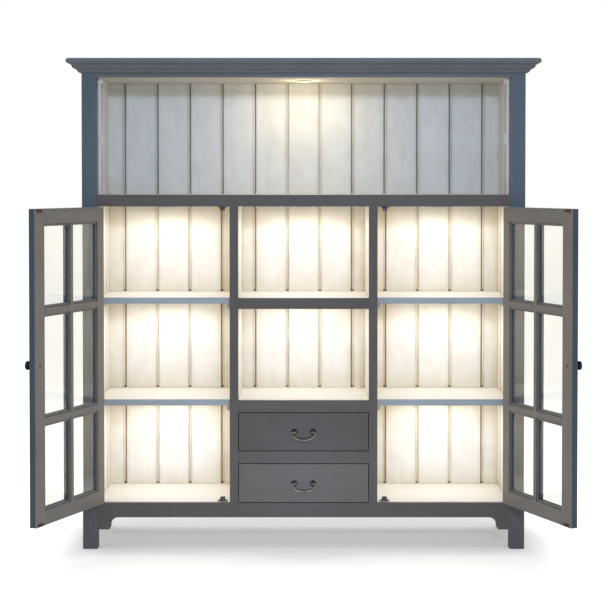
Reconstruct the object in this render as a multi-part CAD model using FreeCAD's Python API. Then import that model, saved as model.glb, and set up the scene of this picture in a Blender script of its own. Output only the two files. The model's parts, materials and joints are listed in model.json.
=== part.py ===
"""Painted kitchen cupboard: an open lit bay over two glazed-door bays and a centre column with two drawers.

Millimetres. While the pieces are made, X = 0 is the middle of the width, Y = 0 is the front of the face
frame with +Y to the back, and Z = 0 is the floor. The right-hand pieces are made first and mirrored for the
left. At the end everything moves along Y so that the origin is at the middle of the footprint.
"""
import FreeCAD, Part
import math
import os
from FreeCAD import Vector

os.makedirs("parts", exist_ok=True)

# Carcass, seen from the front
body_width = 1828.8
body_depth = 457.2
post_width = 60.0
front_post_depth = 60.0
back_post_depth = 45.0
frame_thickness = 22.0
arris = 1.5

# Face frame heights, from the floor up
base_clearance = 131.5
base_rail_height = 60.5
door_opening_height = 1228.0
middle_rail_height = 48.4
top_opening_height = 483.6
top_rail_height = 54.0

# Centre column
column_opening_width = 540.8
centre_stile_width = 35.1
lower_drawer_opening = 163.9
drawer_divider_height = 50.8
lower_bay_rail_height = 48.8
upper_bay_rail_height = 44.7

# Boards
deck_thickness = 18.0
ceiling_thickness = 12.0
lining_thickness = 12.0
plank_thickness = 12.2
plank_width = 142.8
plank_rebate = 10.0
groove_half_width = 6.0
groove_depth = 5.0

# Sides, outside
side_rail_setback = 3.0
side_top_rail_height = 84.0
side_panel_thickness = 10.0
side_panel_setback = 9.0
side_panel_tongue = 8.0

# Foot brackets
bracket_flat = 49.0
bracket_drop = 50.3
bracket_lip = 6.5
bracket_round = 7.0
bracket_cove = 26.0

# Cornice
cap_thickness = 22.0
cap_overhang = 57.5
cap_flat_overhang = 49.5
cap_under_overhang = 49.0
cap_nose_height = 10.5
cornice_height = 58.5
cornice_bead_out = 17.5
cornice_bead_rise = 12.0
cornice_step_out = 30.0
cornice_step_rise = 18.0
cornice_fillet_out = 34.5
cornice_fillet_rise = 21.0

# Shelves, and the height of each shelf top above the bay floor
lower_shelf_height = 425.0
upper_shelf_height = 849.0
shelf_thickness = 25.0
shelf_setback = 35.0
shelf_lipping = 8.0
shelf_side_gap = 1.0
shelf_back_gap = 2.0
cleat_width = 12.0
cleat_height = 19.5

# Doors
door_thickness = 30.0
door_hinge_gap = 3.0
door_gap = 2.0
door_rest_angle = 111.5
lock_stile_width = 75.0
hinge_stile_width = 63.0
door_top_rail = 68.0
door_bottom_rail = 66.0
upright_bar_width = 40.0
cross_bar_width = 43.0
cross_bar_drop = 19.0
glass_rebate_width = 9.0
glass_rebate_depth = 14.0
glass_thickness = 3.0
glass_edge_gap = 0.8
bead_sink = 5.0
bead_side_gap = 0.3

# Butt hinges
hinge_height = 76.0
hinge_end_inset = 150.0
hinge_leaf_thickness = 1.2
hinge_leaf_width = 25.0
hinge_barrel_radius = 3.2
hinge_pin_radius = 1.6
hinge_pin_head_radius = 2.7
hinge_pin_head_height = 2.0
hinge_running_gap = 0.3
hinge_pin_clearance = 0.06

# Door knob
knob_height = 623.0
knob_inset = 30.0
knob_radius = 18.0
knob_projection = 33.0
knob_base_radius = 9.5
knob_base_thickness = 3.0
knob_neck_radius = 6.0
knob_neck_length = 11.0
knob_rim_thickness = 4.0
knob_screw_radius = 2.0
knob_screw_depth = 12.0
knob_screw_head_radius = 4.5
knob_screw_head_height = 2.2
screw_hole_clearance = 0.2

# Door catches
catch_inset = 29.5
strike_width = 39.0
strike_height = 10.0
strike_thickness = 2.5
strike_inset = 3.0
catch_gap = 0.5
catch_plate_width = 40.0
catch_plate_depth = 27.0
catch_plate_thickness = 3.0
catch_block_width = 22.0
catch_block_depth = 20.0
catch_block_height = 18.0
catch_block_round = 6.0

# Drawers
drawer_gap = 2.5
drawer_front_thickness = 20.0
drawer_side_thickness = 12.0
drawer_side_gap = 4.5
drawer_back_clearance = 13.0
drawer_side_headroom = 16.0
drawer_bottom_thickness = 6.0
drawer_bottom_raise = 8.0
drawer_groove_depth = 6.0
drawer_running_gap = 0.3
runner_width = 22.0
runner_height = 12.0

# Drawer pulls
pull_span = 76.0
pull_rosette_radius = 12.5
pull_rosette_thickness = 3.0
pull_neck_radius = 4.0
pull_ball_radius = 6.0
pull_ball_standoff = 14.0
pull_shank_radius = 2.0
pull_nut_radius = 5.0
pull_nut_thickness = 3.5
bail_rod_radius = 2.75
bail_running_gap = 0.07
bail_flare = 10.0
bail_end_length = 1.5
bail_drop = 33.0
bail_corner_radius = 5.0
bail_sweep_radius = 25.0
bail_bead_radius = 5.0
bail_collar_radius = 4.6
bail_collar_width = 2.5
bail_collar_spacing = 8.0

# Puck lights
puck_radius = 34.0
puck_height = 6.0
puck_lens_radius = 27.0
puck_lens_sink = 1.0
puck_lens_gap = 0.2

# Shelf ladders at the front of the top bay
ladder_width = 14.0
ladder_depth = 10.0
ladder_groove = 3.0
ladder_front_gap = 3.0
rest_width = 20.0
rest_depth = 18.0
top_rest_height = 21.0
middle_rest_height = 46.0
middle_rest_rise = 207.0
rest_ridge_pitch = 9.0
rest_ridge_depth = 2.0

# One named overrun serves every cut
overrun = 5.0

# Lines that several pieces share
half_width = body_width / 2
half_opening = half_width - post_width
half_column = column_opening_width / 2
bay_inner = half_column + centre_stile_width
rail_inner = half_opening + lining_thickness
side_face = half_width - side_rail_setback
plank_face = body_depth - plank_thickness
drawer_length = plank_face - drawer_front_thickness - drawer_back_clearance
back_post_front = body_depth - back_post_depth

floor_top = base_clearance + base_rail_height
middle_rail_bottom = floor_top + door_opening_height
deck_top = middle_rail_bottom + middle_rail_height
top_opening_top = deck_top + top_opening_height
body_top = top_opening_top + top_rail_height
total_height = body_top + cap_thickness
cornice_bottom = total_height - cornice_height
deck_bottom = deck_top - deck_thickness
lower_shelf_top = floor_top + lower_shelf_height
upper_shelf_top = floor_top + upper_shelf_height
divider_bottom = floor_top + lower_drawer_opening
divider_top = divider_bottom + drawer_divider_height
upper_drawer_top = lower_shelf_top - lower_bay_rail_height

hinge_x = half_opening - door_hinge_gap / 2
hinge_y = -hinge_barrel_radius - hinge_running_gap
door_free_edge = bay_inner + door_gap
door_hinge_edge = half_opening - door_hinge_gap
door_bottom = floor_top + door_gap
door_top = middle_rail_bottom - door_gap
catch_x = door_free_edge + catch_inset

nodes = {}


def block(x0, x1, y0, y1, z0, z1):
    """A box from its lowest to its highest corner."""
    return Part.makeBox(x1 - x0, y1 - y0, z1 - z0, Vector(x0, y0, z0))


def mirrored(shapes):
    """The same solids on the other side of the cupboard."""
    return [shape.mirror(Vector(0, 0, 0), Vector(1, 0, 0)) for shape in shapes]


def with_mirror(shapes):
    """Solids of the right side, and their mirror images."""
    return shapes + mirrored(shapes)


def runs_along(edge, axis):
    """Whether a straight edge is parallel to an axis."""
    if not isinstance(edge.Curve, Part.Line):
        return False
    return abs(edge.tangentAt(edge.FirstParameter).dot(axis)) > math.cos(math.radians(1))


def eased(shape, axis, radius=arris):
    """The solid with its long edges along one axis rounded over."""
    edges = [edge for edge in shape.Edges if runs_along(edge, axis)]
    return shape.makeFillet(radius, edges)


def without(shape, tools):
    """The solid with each tool cut out of it."""
    return shape.cut(Part.makeCompound(tools)) if tools else shape


def prism(points, direction):
    """A straight-sided solid over a flat outline of points."""
    return Part.Face(Part.makePolygon(points + points[:1])).extrude(direction)


def turned(edges, base, axis):
    """A solid of revolution over an outline that starts and ends on the axis."""
    shell = Part.Wire(edges).revolve(base, axis, 360)
    return Part.Solid(Part.Shell(shell.Faces))


def front_posts():
    """The two front corner posts, which are also the front legs, grooved for the side panels."""
    post = block(half_opening, half_width, 0, front_post_depth, 0, body_top)
    return without(eased(post, Vector(0, 0, 1)), side_panels())


def back_posts():
    """The back corner posts, grooved for the side panels and rebated for the back planks."""
    post = eased(block(half_opening, half_width, back_post_front, body_depth, 0, body_top), Vector(0, 0, 1))
    rebate = block(half_opening - overrun, half_opening + plank_rebate,
                   plank_face, body_depth + overrun, base_clearance, body_top + overrun)
    return without(post, side_panels() + [rebate])


def side_panel(bottom, top):
    """A flat outside panel whose edges stand in the grooves of its posts and rails."""
    outer = side_face - side_panel_setback
    return block(outer - side_panel_thickness, outer,
                 front_post_depth - side_panel_tongue, back_post_front + side_panel_tongue,
                 bottom - side_panel_tongue, top + side_panel_tongue)


def side_panels():
    return [side_panel(floor_top, middle_rail_bottom), side_panel(deck_top, body_top - side_top_rail_height)]


def side_rails():
    """The bottom, middle and top rails between the posts of one side."""
    levels = ((base_clearance, floor_top), (middle_rail_bottom, deck_top),
              (body_top - side_top_rail_height, body_top))
    rails = []
    for bottom, top in levels:
        rail = block(rail_inner, side_face, front_post_depth, back_post_front, bottom, top)
        rails.append(without(eased(rail, Vector(0, 1, 0)), side_panels()))
    return rails


def frame_rail(half_span, bottom, top):
    """A horizontal rail of the face frame."""
    return eased(block(-half_span, half_span, 0, frame_thickness, bottom, top), Vector(1, 0, 0))


def centre_stile():
    stile = block(half_column, bay_inner, 0, frame_thickness, floor_top, middle_rail_bottom)
    return eased(stile, Vector(0, 0, 1))


def foot_bracket():
    """The shaped block beside a front leg: a lip, a small round and a long cove up to the rail."""
    leg = half_opening
    low = base_clearance - bracket_drop
    step_x = leg - bracket_flat
    round_x = step_x - bracket_round
    round_z = low + bracket_lip + bracket_round
    cove_x = round_x - bracket_cove
    turn = math.cos(math.radians(45))
    corners = [Vector(step_x, 0, low + bracket_lip), Vector(step_x, 0, low), Vector(leg, 0, low),
               Vector(leg, 0, base_clearance), Vector(cove_x, 0, base_clearance)]
    lines = [Part.LineSegment(a, b).toShape() for a, b in zip(corners, corners[1:])]
    cove_middle = Vector(cove_x + bracket_cove * turn, 0, round_z + (base_clearance - round_z) * turn)
    cove = Part.Arc(corners[-1], cove_middle, Vector(round_x, 0, round_z)).toShape()
    round_middle = Vector(step_x - bracket_round * turn, 0, round_z - bracket_round * turn)
    nose = Part.Arc(Vector(round_x, 0, round_z), round_middle, corners[0]).toShape()
    outline = Part.Wire(lines + [cove, nose])
    return Part.Face(outline).extrude(Vector(0, frame_thickness, 0))


def grooved_board(along, start, end, face, back, bottom, top):
    """A board whose two front edges are bevelled, so that two boards meet in a V groove.

    The board's width runs from start to end, and its thickness from face to back. The function along puts
    a width and a thickness in their places in plan."""
    bevel = groove_half_width
    sunk = face + math.copysign(groove_depth, back - face)
    plan = [(start, back), (end, back), (end, sunk), (end - bevel, face),
            (start + bevel, face), (start, sunk)]
    points = [along(width, depth, bottom) for width, depth in plan]
    return prism(points, Vector(0, 0, top - bottom))


def across_back(width, depth, height):
    return Vector(width, depth, height)


def along_side(width, depth, height):
    return Vector(depth, width, height)


def board_edges(start, end, centre):
    """The edges of boards of one width that fill a span, with one board centred on a place."""
    first = math.ceil((start - centre) / plank_width + 0.5)
    last = math.floor((end - centre) / plank_width - 0.5)
    inner = [centre + (step - 0.5) * plank_width for step in range(first, last + 2)]
    slack = groove_half_width * 2
    inner = [edge for edge in inner if start + slack < edge < end - slack]
    return [start] + inner + [end]


def back_planks():
    edges = board_edges(-half_opening - plank_rebate, half_opening + plank_rebate, 0)
    return [grooved_board(across_back, left, right, plank_face, body_depth, base_clearance, body_top)
            for left, right in zip(edges, edges[1:])]


def side_lining():
    """The upright boards that line one side wall, below and above the middle deck."""
    first_centre = front_post_depth + plank_width / 2
    edges = board_edges(front_post_depth, back_post_front, first_centre)
    boards = []
    for bottom, top in ((floor_top, deck_bottom), (deck_top, top_opening_top)):
        for front, back in zip(edges, edges[1:]):
            boards.append(grooved_board(along_side, front, back, half_opening, rail_inner, bottom, top))
    return boards


def full_deck(bottom):
    """A horizontal board across the whole carcass, notched round the four posts."""
    board = block(-rail_inner, rail_inner, frame_thickness, plank_face, bottom, bottom + deck_thickness)
    high = bottom + deck_thickness + overrun
    outer = rail_inner + overrun
    front = block(half_opening, outer, 0, front_post_depth, bottom - overrun, high)
    back = block(half_opening, outer, back_post_front, body_depth, bottom - overrun, high)
    return without(board, with_mirror([front, back]))


def partition():
    return block(half_column, bay_inner, frame_thickness, plank_face, floor_top, deck_bottom)


def bay_ceiling(x0, x1):
    top = middle_rail_bottom + ceiling_thickness
    return block(x0, x1, frame_thickness, plank_face, middle_rail_bottom, top)


def centre_deck(top):
    return block(-half_column, half_column, frame_thickness, plank_face, top - deck_thickness, top)


def side_shelf(top):
    """A loose shelf of a side bay, behind its lipping."""
    return block(bay_inner + shelf_side_gap, half_opening - shelf_side_gap,
                 shelf_setback + shelf_lipping, plank_face - shelf_back_gap, top - shelf_thickness, top)


def shelf_front(top):
    lipping = block(bay_inner + shelf_side_gap, half_opening - shelf_side_gap,
                    shelf_setback, shelf_setback + shelf_lipping, top - shelf_thickness, top)
    return eased(lipping, Vector(1, 0, 0))


def shelf_cleats(top):
    """The two battens that carry the ends of a side shelf."""
    high = top - shelf_thickness
    low = high - cleat_height
    ends = ((bay_inner, bay_inner + cleat_width), (half_opening - cleat_width, half_opening))
    return [block(inner, outer, shelf_setback, back_post_front, low, high) for inner, outer in ends]


def drawer_runner(opening_bottom):
    return block(half_column - runner_width, half_column, frame_thickness, plank_face,
                 opening_bottom, opening_bottom + runner_height)


def cornice_profile():
    """The moulding under the cap: an ovolo, a sloping step, a small fillet and a cove."""
    places = ((0, 0), (cornice_bead_out, cornice_bead_rise), (cornice_step_out, cornice_step_rise),
              (cornice_fillet_out, cornice_fillet_rise), (cap_under_overhang, cornice_height - cap_thickness))
    foot, bead, step, fillet, tip = [Vector(out, 0, cornice_bottom + rise) for out, rise in places]
    turn = math.cos(math.radians(45))
    bead_middle = Vector(bead.x * turn, 0, foot.z + (bead.z - foot.z) * (1 - turn))
    cove_middle = Vector(fillet.x + (tip.x - fillet.x) * (1 - turn), 0, fillet.z + (tip.z - fillet.z) * turn)
    wall = Vector(0, 0, tip.z)
    return Part.Wire([
        Part.Arc(foot, bead_middle, bead).toShape(),
        Part.LineSegment(bead, step).toShape(),
        Part.LineSegment(step, fillet).toShape(),
        Part.Arc(fillet, cove_middle, tip).toShape(),
        Part.LineSegment(tip, wall).toShape(),
        Part.LineSegment(wall, foot).toShape(),
    ])


def nosing_profile():
    """The rounded edge of the cap, from its flat top to its underside."""
    under = Vector(cap_under_overhang, 0, body_top)
    nose = Vector(cap_overhang, 0, body_top + cap_nose_height)
    top = Vector(cap_flat_overhang, 0, total_height)
    inner_top = Vector(0, 0, total_height)
    inner_under = Vector(0, 0, body_top)
    return Part.Wire([
        Part.Arc(under, nose, top).toShape(),
        Part.LineSegment(top, inner_top).toShape(),
        Part.LineSegment(inner_top, inner_under).toShape(),
        Part.LineSegment(inner_under, under).toShape(),
    ])


def mitred_runs(profile):
    """A moulding of one profile along the front and both sides, mitred at the front corners."""
    reach = cap_overhang + overrun
    outer = half_width + reach
    face = Part.Face(profile)
    side = face.copy()
    side.translate(Vector(half_width, -reach, 0))
    side_run = side.extrude(Vector(0, body_depth + reach, 0))
    side_plan = [Vector(half_width, 0, 0), Vector(outer, -reach, 0),
                 Vector(outer, body_depth, 0), Vector(half_width, body_depth, 0)]
    front = face.copy()
    front.rotate(Vector(0, 0, 0), Vector(0, 0, 1), -90)
    front.translate(Vector(-outer, 0, 0))
    front_run = front.extrude(Vector(2 * outer, 0, 0))
    front_plan = [Vector(-half_width, 0, 0), Vector(-outer, -reach, 0),
                  Vector(outer, -reach, 0), Vector(half_width, 0, 0)]
    height = Vector(0, 0, total_height + overrun)
    front_piece = front_run.common(prism(front_plan, height)).Solids
    side_piece = side_run.common(prism(side_plan, height)).Solids
    return front_piece + with_mirror(side_piece)


def cornice_cap():
    """The top board with its rounded nosing."""
    board = block(-half_width, half_width, 0, body_depth, body_top, total_height)
    return board.multiFuse(mitred_runs(nosing_profile())).removeSplitter()


def pane_places():
    """The six sight openings of a door, each as its lowest and highest X and Z."""
    left = door_free_edge + lock_stile_width
    right = door_hinge_edge - hinge_stile_width
    middle = (left + right) / 2
    columns = ((left, middle - upright_bar_width / 2), (middle + upright_bar_width / 2, right))
    lower_bar = lower_shelf_top - cross_bar_drop
    upper_bar = upper_shelf_top - cross_bar_drop
    half_bar = cross_bar_width / 2
    rows = ((door_bottom + door_bottom_rail, lower_bar - half_bar),
            (lower_bar + half_bar, upper_bar - half_bar),
            (upper_bar + half_bar, door_top - door_top_rail))
    return [(x0, x1, z0, z1) for x0, x1 in columns for z0, z1 in rows]


def pane_rebates():
    """The rebates behind the six openings, open to the inner face of the door."""
    wide = glass_rebate_width
    return [block(x0 - wide, x1 + wide, door_thickness - glass_rebate_depth, door_thickness + overrun,
                  z0 - wide, z1 + wide) for x0, x1, z0, z1 in pane_places()]


def door_stile(x0, x1):
    stile = block(x0, x1, 0, door_thickness, door_bottom, door_top)
    return without(eased(stile, Vector(0, 0, 1)), pane_rebates())


def door_rails():
    left = door_free_edge + lock_stile_width
    right = door_hinge_edge - hinge_stile_width
    levels = ((door_bottom, door_bottom + door_bottom_rail), (door_top - door_top_rail, door_top))
    return [without(eased(block(left, right, 0, door_thickness, low, high), Vector(1, 0, 0)), pane_rebates())
            for low, high in levels]


def glazing_bars():
    """Two full-width cross bars, and an upright bar in three lengths between them."""
    places = pane_places()
    left, right = places[0][0], places[-1][1]
    upright_left, upright_right = places[0][1], places[-1][0]
    bars = []
    for low_row, high_row in zip(places[:2], places[1:3]):
        bars.append(block(left, right, 0, door_thickness, low_row[3], high_row[2]))
    for row in places[:3]:
        bars.append(block(upright_left, upright_right, 0, door_thickness, row[2], row[3]))
    return [without(bar, pane_rebates()) for bar in bars]


def glass_panes():
    grow = glass_rebate_width - glass_edge_gap
    front = door_thickness - glass_rebate_depth
    return [block(x0 - grow, x1 + grow, front, front + glass_thickness, z0 - grow, z1 + grow)
            for x0, x1, z0, z1 in pane_places()]


def glazing_beads():
    """Four strips round each pane, which hold the glass against its rebate."""
    front = door_thickness - glass_rebate_depth + glass_thickness
    back = door_thickness - bead_sink
    grow = glass_rebate_width - bead_side_gap
    strips = []
    for x0, x1, z0, z1 in pane_places():
        strips.append(block(x0 - grow, x1 + grow, front, back, z0 - grow, z0))
        strips.append(block(x0 - grow, x1 + grow, front, back, z1, z1 + grow))
        strips.append(block(x0 - grow, x0, front, back, z0, z1))
        strips.append(block(x1, x1 + grow, front, back, z0, z1))
    return strips


def knob_outline():
    """Half the section of the knob along -Y: a base, a neck and a domed head."""
    head_y = knob_base_thickness + knob_neck_length
    dome_height = (knob_radius - knob_neck_radius) / 2
    rim_y = knob_projection - dome_height
    dome_radius = (knob_radius ** 2 + dome_height ** 2) / (2 * dome_height)
    half_turn = math.asin(knob_radius / dome_radius) / 2
    places = [(0, 0), (knob_base_radius, 0), (knob_base_radius, knob_base_thickness / 2),
              (knob_neck_radius, knob_base_thickness), (knob_neck_radius, head_y),
              (knob_radius, rim_y - knob_rim_thickness), (knob_radius, rim_y)]
    points = [Vector(radius, -out, 0) for radius, out in places]
    edges = [Part.LineSegment(a, b).toShape() for a, b in zip(points, points[1:])]
    tip = Vector(0, -knob_projection, 0)
    dome_out = knob_projection - dome_radius * (1 - math.cos(half_turn))
    dome_middle = Vector(dome_radius * math.sin(half_turn), -dome_out, 0)
    edges.append(Part.Arc(points[-1], dome_middle, tip).toShape())
    return edges


def knob_axis():
    return Vector(door_free_edge + knob_inset, 0, floor_top + knob_height)


def rod(radius, start_y, end_y, centre, grow=0):
    """A round rod along Y through a centre."""
    base = Vector(centre.x, start_y, centre.z)
    return Part.makeCylinder(radius + grow, end_y - start_y, base, Vector(0, 1, 0))


def door_knob():
    """The knob, and the screw that holds it from the inner face of the door."""
    place = knob_axis()
    knob = turned(knob_outline(), Vector(0, 0, 0), Vector(0, 1, 0)).translated(place)
    knob = knob.cut(rod(knob_screw_radius, -knob_screw_depth, overrun, place))
    shank = rod(knob_screw_radius, -knob_screw_depth, door_thickness, place)
    head = rod(knob_screw_head_radius, door_thickness, door_thickness + knob_screw_head_height, place)
    return [knob, shank.fuse(head).removeSplitter()]


def lock_stile():
    """The stile at the free edge, drilled for the knob screw."""
    hole = rod(knob_screw_radius, -overrun, door_thickness + overrun, knob_axis(), screw_hole_clearance)
    return door_stile(door_free_edge, door_free_edge + lock_stile_width).cut(hole)


def door_strikes():
    """The two plates on the inner face that the catches hold."""
    x0 = catch_x - strike_width / 2
    back = door_thickness + strike_thickness
    lows = (door_bottom + strike_inset, door_top - strike_inset - strike_height)
    return [eased(block(x0, x0 + strike_width, door_thickness, back, low, low + strike_height),
                  Vector(0, 1, 0)) for low in lows]


def catch(base_z, direction):
    """A catch on the bay floor or under its ceiling: a plate with a round-topped block."""
    front = door_thickness + strike_thickness + catch_gap
    plate_x = catch_x - catch_plate_width / 2
    block_x = catch_x - catch_block_width / 2
    plate = Part.makeBox(catch_plate_width, catch_plate_depth, catch_plate_thickness,
                         Vector(plate_x, front, 0))
    body = Part.makeBox(catch_block_width, catch_block_depth, catch_block_height, Vector(block_x, front, 0))
    top_edges = [edge for edge in body.Edges
                 if runs_along(edge, Vector(0, 1, 0)) and edge.CenterOfMass.z > catch_block_height / 2]
    shape = body.makeFillet(catch_block_round, top_edges).fuse(plate).removeSplitter()
    if direction < 0:
        shape = shape.mirror(Vector(0, 0, 0), Vector(0, 0, 1))
    shape.translate(Vector(0, 0, base_z))
    return shape


def hinge_levels():
    """The lowest Z of each of the three hinges of a door."""
    lowest = door_bottom + hinge_end_inset - hinge_height / 2
    highest = door_top - hinge_end_inset - hinge_height / 2
    return lowest, (lowest + highest) / 2, highest


def barrel(radius, low, high):
    return Part.makeCylinder(radius, high - low, Vector(hinge_x, hinge_y, low), Vector(0, 0, 1))


def knuckle(bore_radius, low, high, plate_x0, plate_x1):
    """One knuckle of the barrel with the strap that joins it to its leaf."""
    strap = block(plate_x0, plate_x1, hinge_y, 0, low, high)
    return barrel(hinge_barrel_radius, low, high).fuse(strap).cut(barrel(bore_radius, low, high))


def frame_leaf(low):
    """The leaf on the post, with the top and bottom knuckles."""
    third = hinge_height / 3
    x0 = half_opening - hinge_leaf_thickness
    plate = block(x0, half_opening, 0, hinge_leaf_width, low, low + hinge_height)
    bottom = knuckle(hinge_pin_radius, low, low + third - hinge_running_gap, x0, half_opening)
    top = knuckle(hinge_pin_radius, low + 2 * third + hinge_running_gap, low + hinge_height, x0, half_opening)
    return plate.multiFuse([bottom, top]).removeSplitter()


def door_leaf(low):
    """The leaf on the door, with the middle knuckle."""
    third = hinge_height / 3
    x1 = door_hinge_edge + hinge_leaf_thickness
    plate = block(door_hinge_edge, x1, 0, hinge_leaf_width, low, low + hinge_height)
    bore = hinge_pin_radius + hinge_pin_clearance
    return plate.fuse(knuckle(bore, low + third, low + 2 * third, door_hinge_edge, x1)).removeSplitter()


def hinge_pin(low):
    high = low + hinge_height
    heads = [barrel(hinge_pin_head_radius, low - hinge_pin_head_height, low),
             barrel(hinge_pin_head_radius, high, high + hinge_pin_head_height)]
    return barrel(hinge_pin_radius, low, high).multiFuse(heads).removeSplitter()


def opened(shapes):
    """The solids of the right-hand door, turned from closed to the angle at which it stands."""
    for shape in shapes:
        shape.rotate(Vector(hinge_x, hinge_y, 0), Vector(0, 0, 1), door_rest_angle)
    return shapes


def door_nodes():
    """The sub-parts of the right-hand door, standing open."""
    return {
        "hinge_stile": opened([door_stile(door_hinge_edge - hinge_stile_width, door_hinge_edge)]),
        "lock_stile": opened([lock_stile()]),
        "rails": opened(door_rails()),
        "glazing_bars": opened(glazing_bars()),
        "panes": opened(glass_panes()),
        "glazing_beads": opened(glazing_beads()),
        "knob": opened(door_knob()),
        "strikes": opened(door_strikes()),
        "hinge_leaves": opened([door_leaf(low) for low in hinge_levels()]),
    }


def pull_centres(bottom, top):
    """The two places of a pull's posts on a drawer front."""
    middle = (bottom + top) / 2
    return [Vector(side * pull_span / 2, 0, middle) for side in (-1, 1)]


def pull_post(place):
    """A rosette, neck and ball with its shank through the drawer front, and the nut behind."""
    ball_centre = Vector(place.x, -pull_ball_standoff, place.z)
    rosette = rod(pull_rosette_radius, -pull_rosette_thickness, 0, place)
    rim = [edge for edge in rosette.Edges if edge.CenterOfMass.y < -pull_rosette_thickness / 2]
    rosette = rosette.makeFillet(pull_rosette_thickness / 2, rim)
    neck = rod(pull_neck_radius, -pull_ball_standoff, 0, place)
    ball = Part.makeSphere(pull_ball_radius, ball_centre)
    end = drawer_front_thickness + pull_nut_thickness
    shank = rod(pull_shank_radius, 0, end, place)
    nut = rod(pull_nut_radius, drawer_front_thickness, end, place)
    eye = Part.makeCylinder(bail_rod_radius + bail_running_gap, 2 * pull_rosette_radius,
                            ball_centre - Vector(pull_rosette_radius, 0, 0), Vector(1, 0, 0))
    post = rosette.multiFuse([neck, ball, shank]).removeSplitter().cut(eye)
    return [post, nut.cut(shank)]


def bail_run(start, end):
    """A straight length of the bail's rod."""
    along = end - start
    return Part.makeCylinder(bail_rod_radius, along.Length, start, along)


def bail_bend(centre, radius, start_angle):
    """A quarter turn of the bail's rod, in the bail's upright plane."""
    turn = math.radians(start_angle)
    outward = Vector(math.cos(turn), 0, math.sin(turn))
    tangent = Vector(-math.sin(turn), 0, math.cos(turn))
    section = Part.Wire(Part.makeCircle(bail_rod_radius, centre + outward * radius, tangent))
    return Part.Face(section).revolve(centre, Vector(0, -1, 0), 90)


def bail(bottom, top):
    """The hanging handle with its beaded grip."""
    reach = pull_span / 2 + bail_flare
    end_x = pull_span / 2 - pull_ball_radius - bail_end_length
    corner = Vector(reach - bail_corner_radius, 0, -bail_corner_radius)
    sweep = Vector(reach - bail_sweep_radius, 0, -bail_drop + bail_sweep_radius)
    half = [
        bail_run(Vector(end_x, 0, 0), Vector(corner.x, 0, 0)),
        bail_bend(corner, bail_corner_radius, 0),
        bail_run(Vector(reach, 0, sweep.z), Vector(reach, 0, corner.z)),
        bail_bend(sweep, bail_sweep_radius, -90),
    ]
    grip = bail_run(Vector(-sweep.x, 0, -bail_drop), Vector(sweep.x, 0, -bail_drop))
    bead = Part.makeSphere(bail_bead_radius, Vector(0, 0, -bail_drop), Vector(1, 0, 0))
    collars = [Part.makeCylinder(bail_collar_radius, bail_collar_width,
                                 Vector(side * bail_collar_spacing - bail_collar_width / 2, 0, -bail_drop),
                                 Vector(1, 0, 0)) for side in (-1, 1)]
    handle = grip.multiFuse(with_mirror(half) + [bead] + collars).removeSplitter()
    return handle.translated(Vector(0, -pull_ball_standoff, (bottom + top) / 2))


def drawer_nodes(opening_bottom, opening_top):
    """The sub-parts of one drawer, closed in its opening."""
    front_bottom = opening_bottom + drawer_gap
    front_top = opening_top - drawer_gap
    half_front = half_column - drawer_gap
    side_outer = half_column - drawer_side_gap
    side_inner = side_outer - drawer_side_thickness
    back_y = drawer_front_thickness + drawer_length
    low = opening_bottom + runner_height + drawer_running_gap
    high = front_top - drawer_side_headroom
    panel_low = low + drawer_bottom_raise
    panel_high = panel_low + drawer_bottom_thickness
    half_panel = side_inner + drawer_groove_depth
    panel = block(-half_panel, half_panel, drawer_front_thickness - drawer_groove_depth, back_y,
                  panel_low, panel_high)
    places = pull_centres(front_bottom, front_top)
    holes = [rod(pull_shank_radius, -overrun, drawer_front_thickness + overrun, place, screw_hole_clearance)
             for place in places]
    front = block(-half_front, half_front, 0, drawer_front_thickness, front_bottom, front_top)
    front = eased(eased(front, Vector(1, 0, 0)), Vector(0, 0, 1))
    side = block(side_inner, side_outer, drawer_front_thickness, back_y, low, high).cut(panel)
    back = block(-side_inner, side_inner, back_y - drawer_side_thickness, back_y, panel_high, high)
    return {
        "front": [without(front, holes + [panel])],
        "walls": with_mirror([side]) + [back],
        "bottom": [panel],
        "pull_posts": [solid for place in places for solid in pull_post(place)],
        "bail": [bail(front_bottom, front_top)],
    }


def puck_places():
    """Where the lights hang: the middle of each bay, at its ceiling or under the shelf above it."""
    depth = (frame_thickness + plank_face) / 2
    side_x = (bay_inner + half_opening) / 2
    ceilings = (middle_rail_bottom, upper_shelf_top - shelf_thickness, lower_shelf_top - shelf_thickness)
    places = [Vector(0, depth, top_opening_top), Vector(0, depth, middle_rail_bottom),
              Vector(0, depth, upper_shelf_top - deck_thickness)]
    for side in (-1, 1):
        places += [Vector(side * side_x, depth, height) for height in ceilings]
    return places


def disc(radius, place, low, high):
    """A flat round piece under a ceiling, from one drop below it to another."""
    return Part.makeCylinder(radius, high - low, Vector(place.x, place.y, place.z - high), Vector(0, 0, 1))


def puck_bezel(place):
    ring = disc(puck_radius, place, 0, puck_height)
    rim = [edge for edge in ring.Edges
           if edge.CenterOfMass.z < place.z - puck_height / 2 and not runs_along(edge, Vector(0, 0, 1))]
    ring = ring.makeFillet(puck_height / 4, rim)
    return ring.cut(disc(puck_lens_radius, place, -overrun, puck_height + overrun))


def puck_lens(place):
    return disc(puck_lens_radius - puck_lens_gap, place, 0, puck_height - puck_lens_sink)


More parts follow.
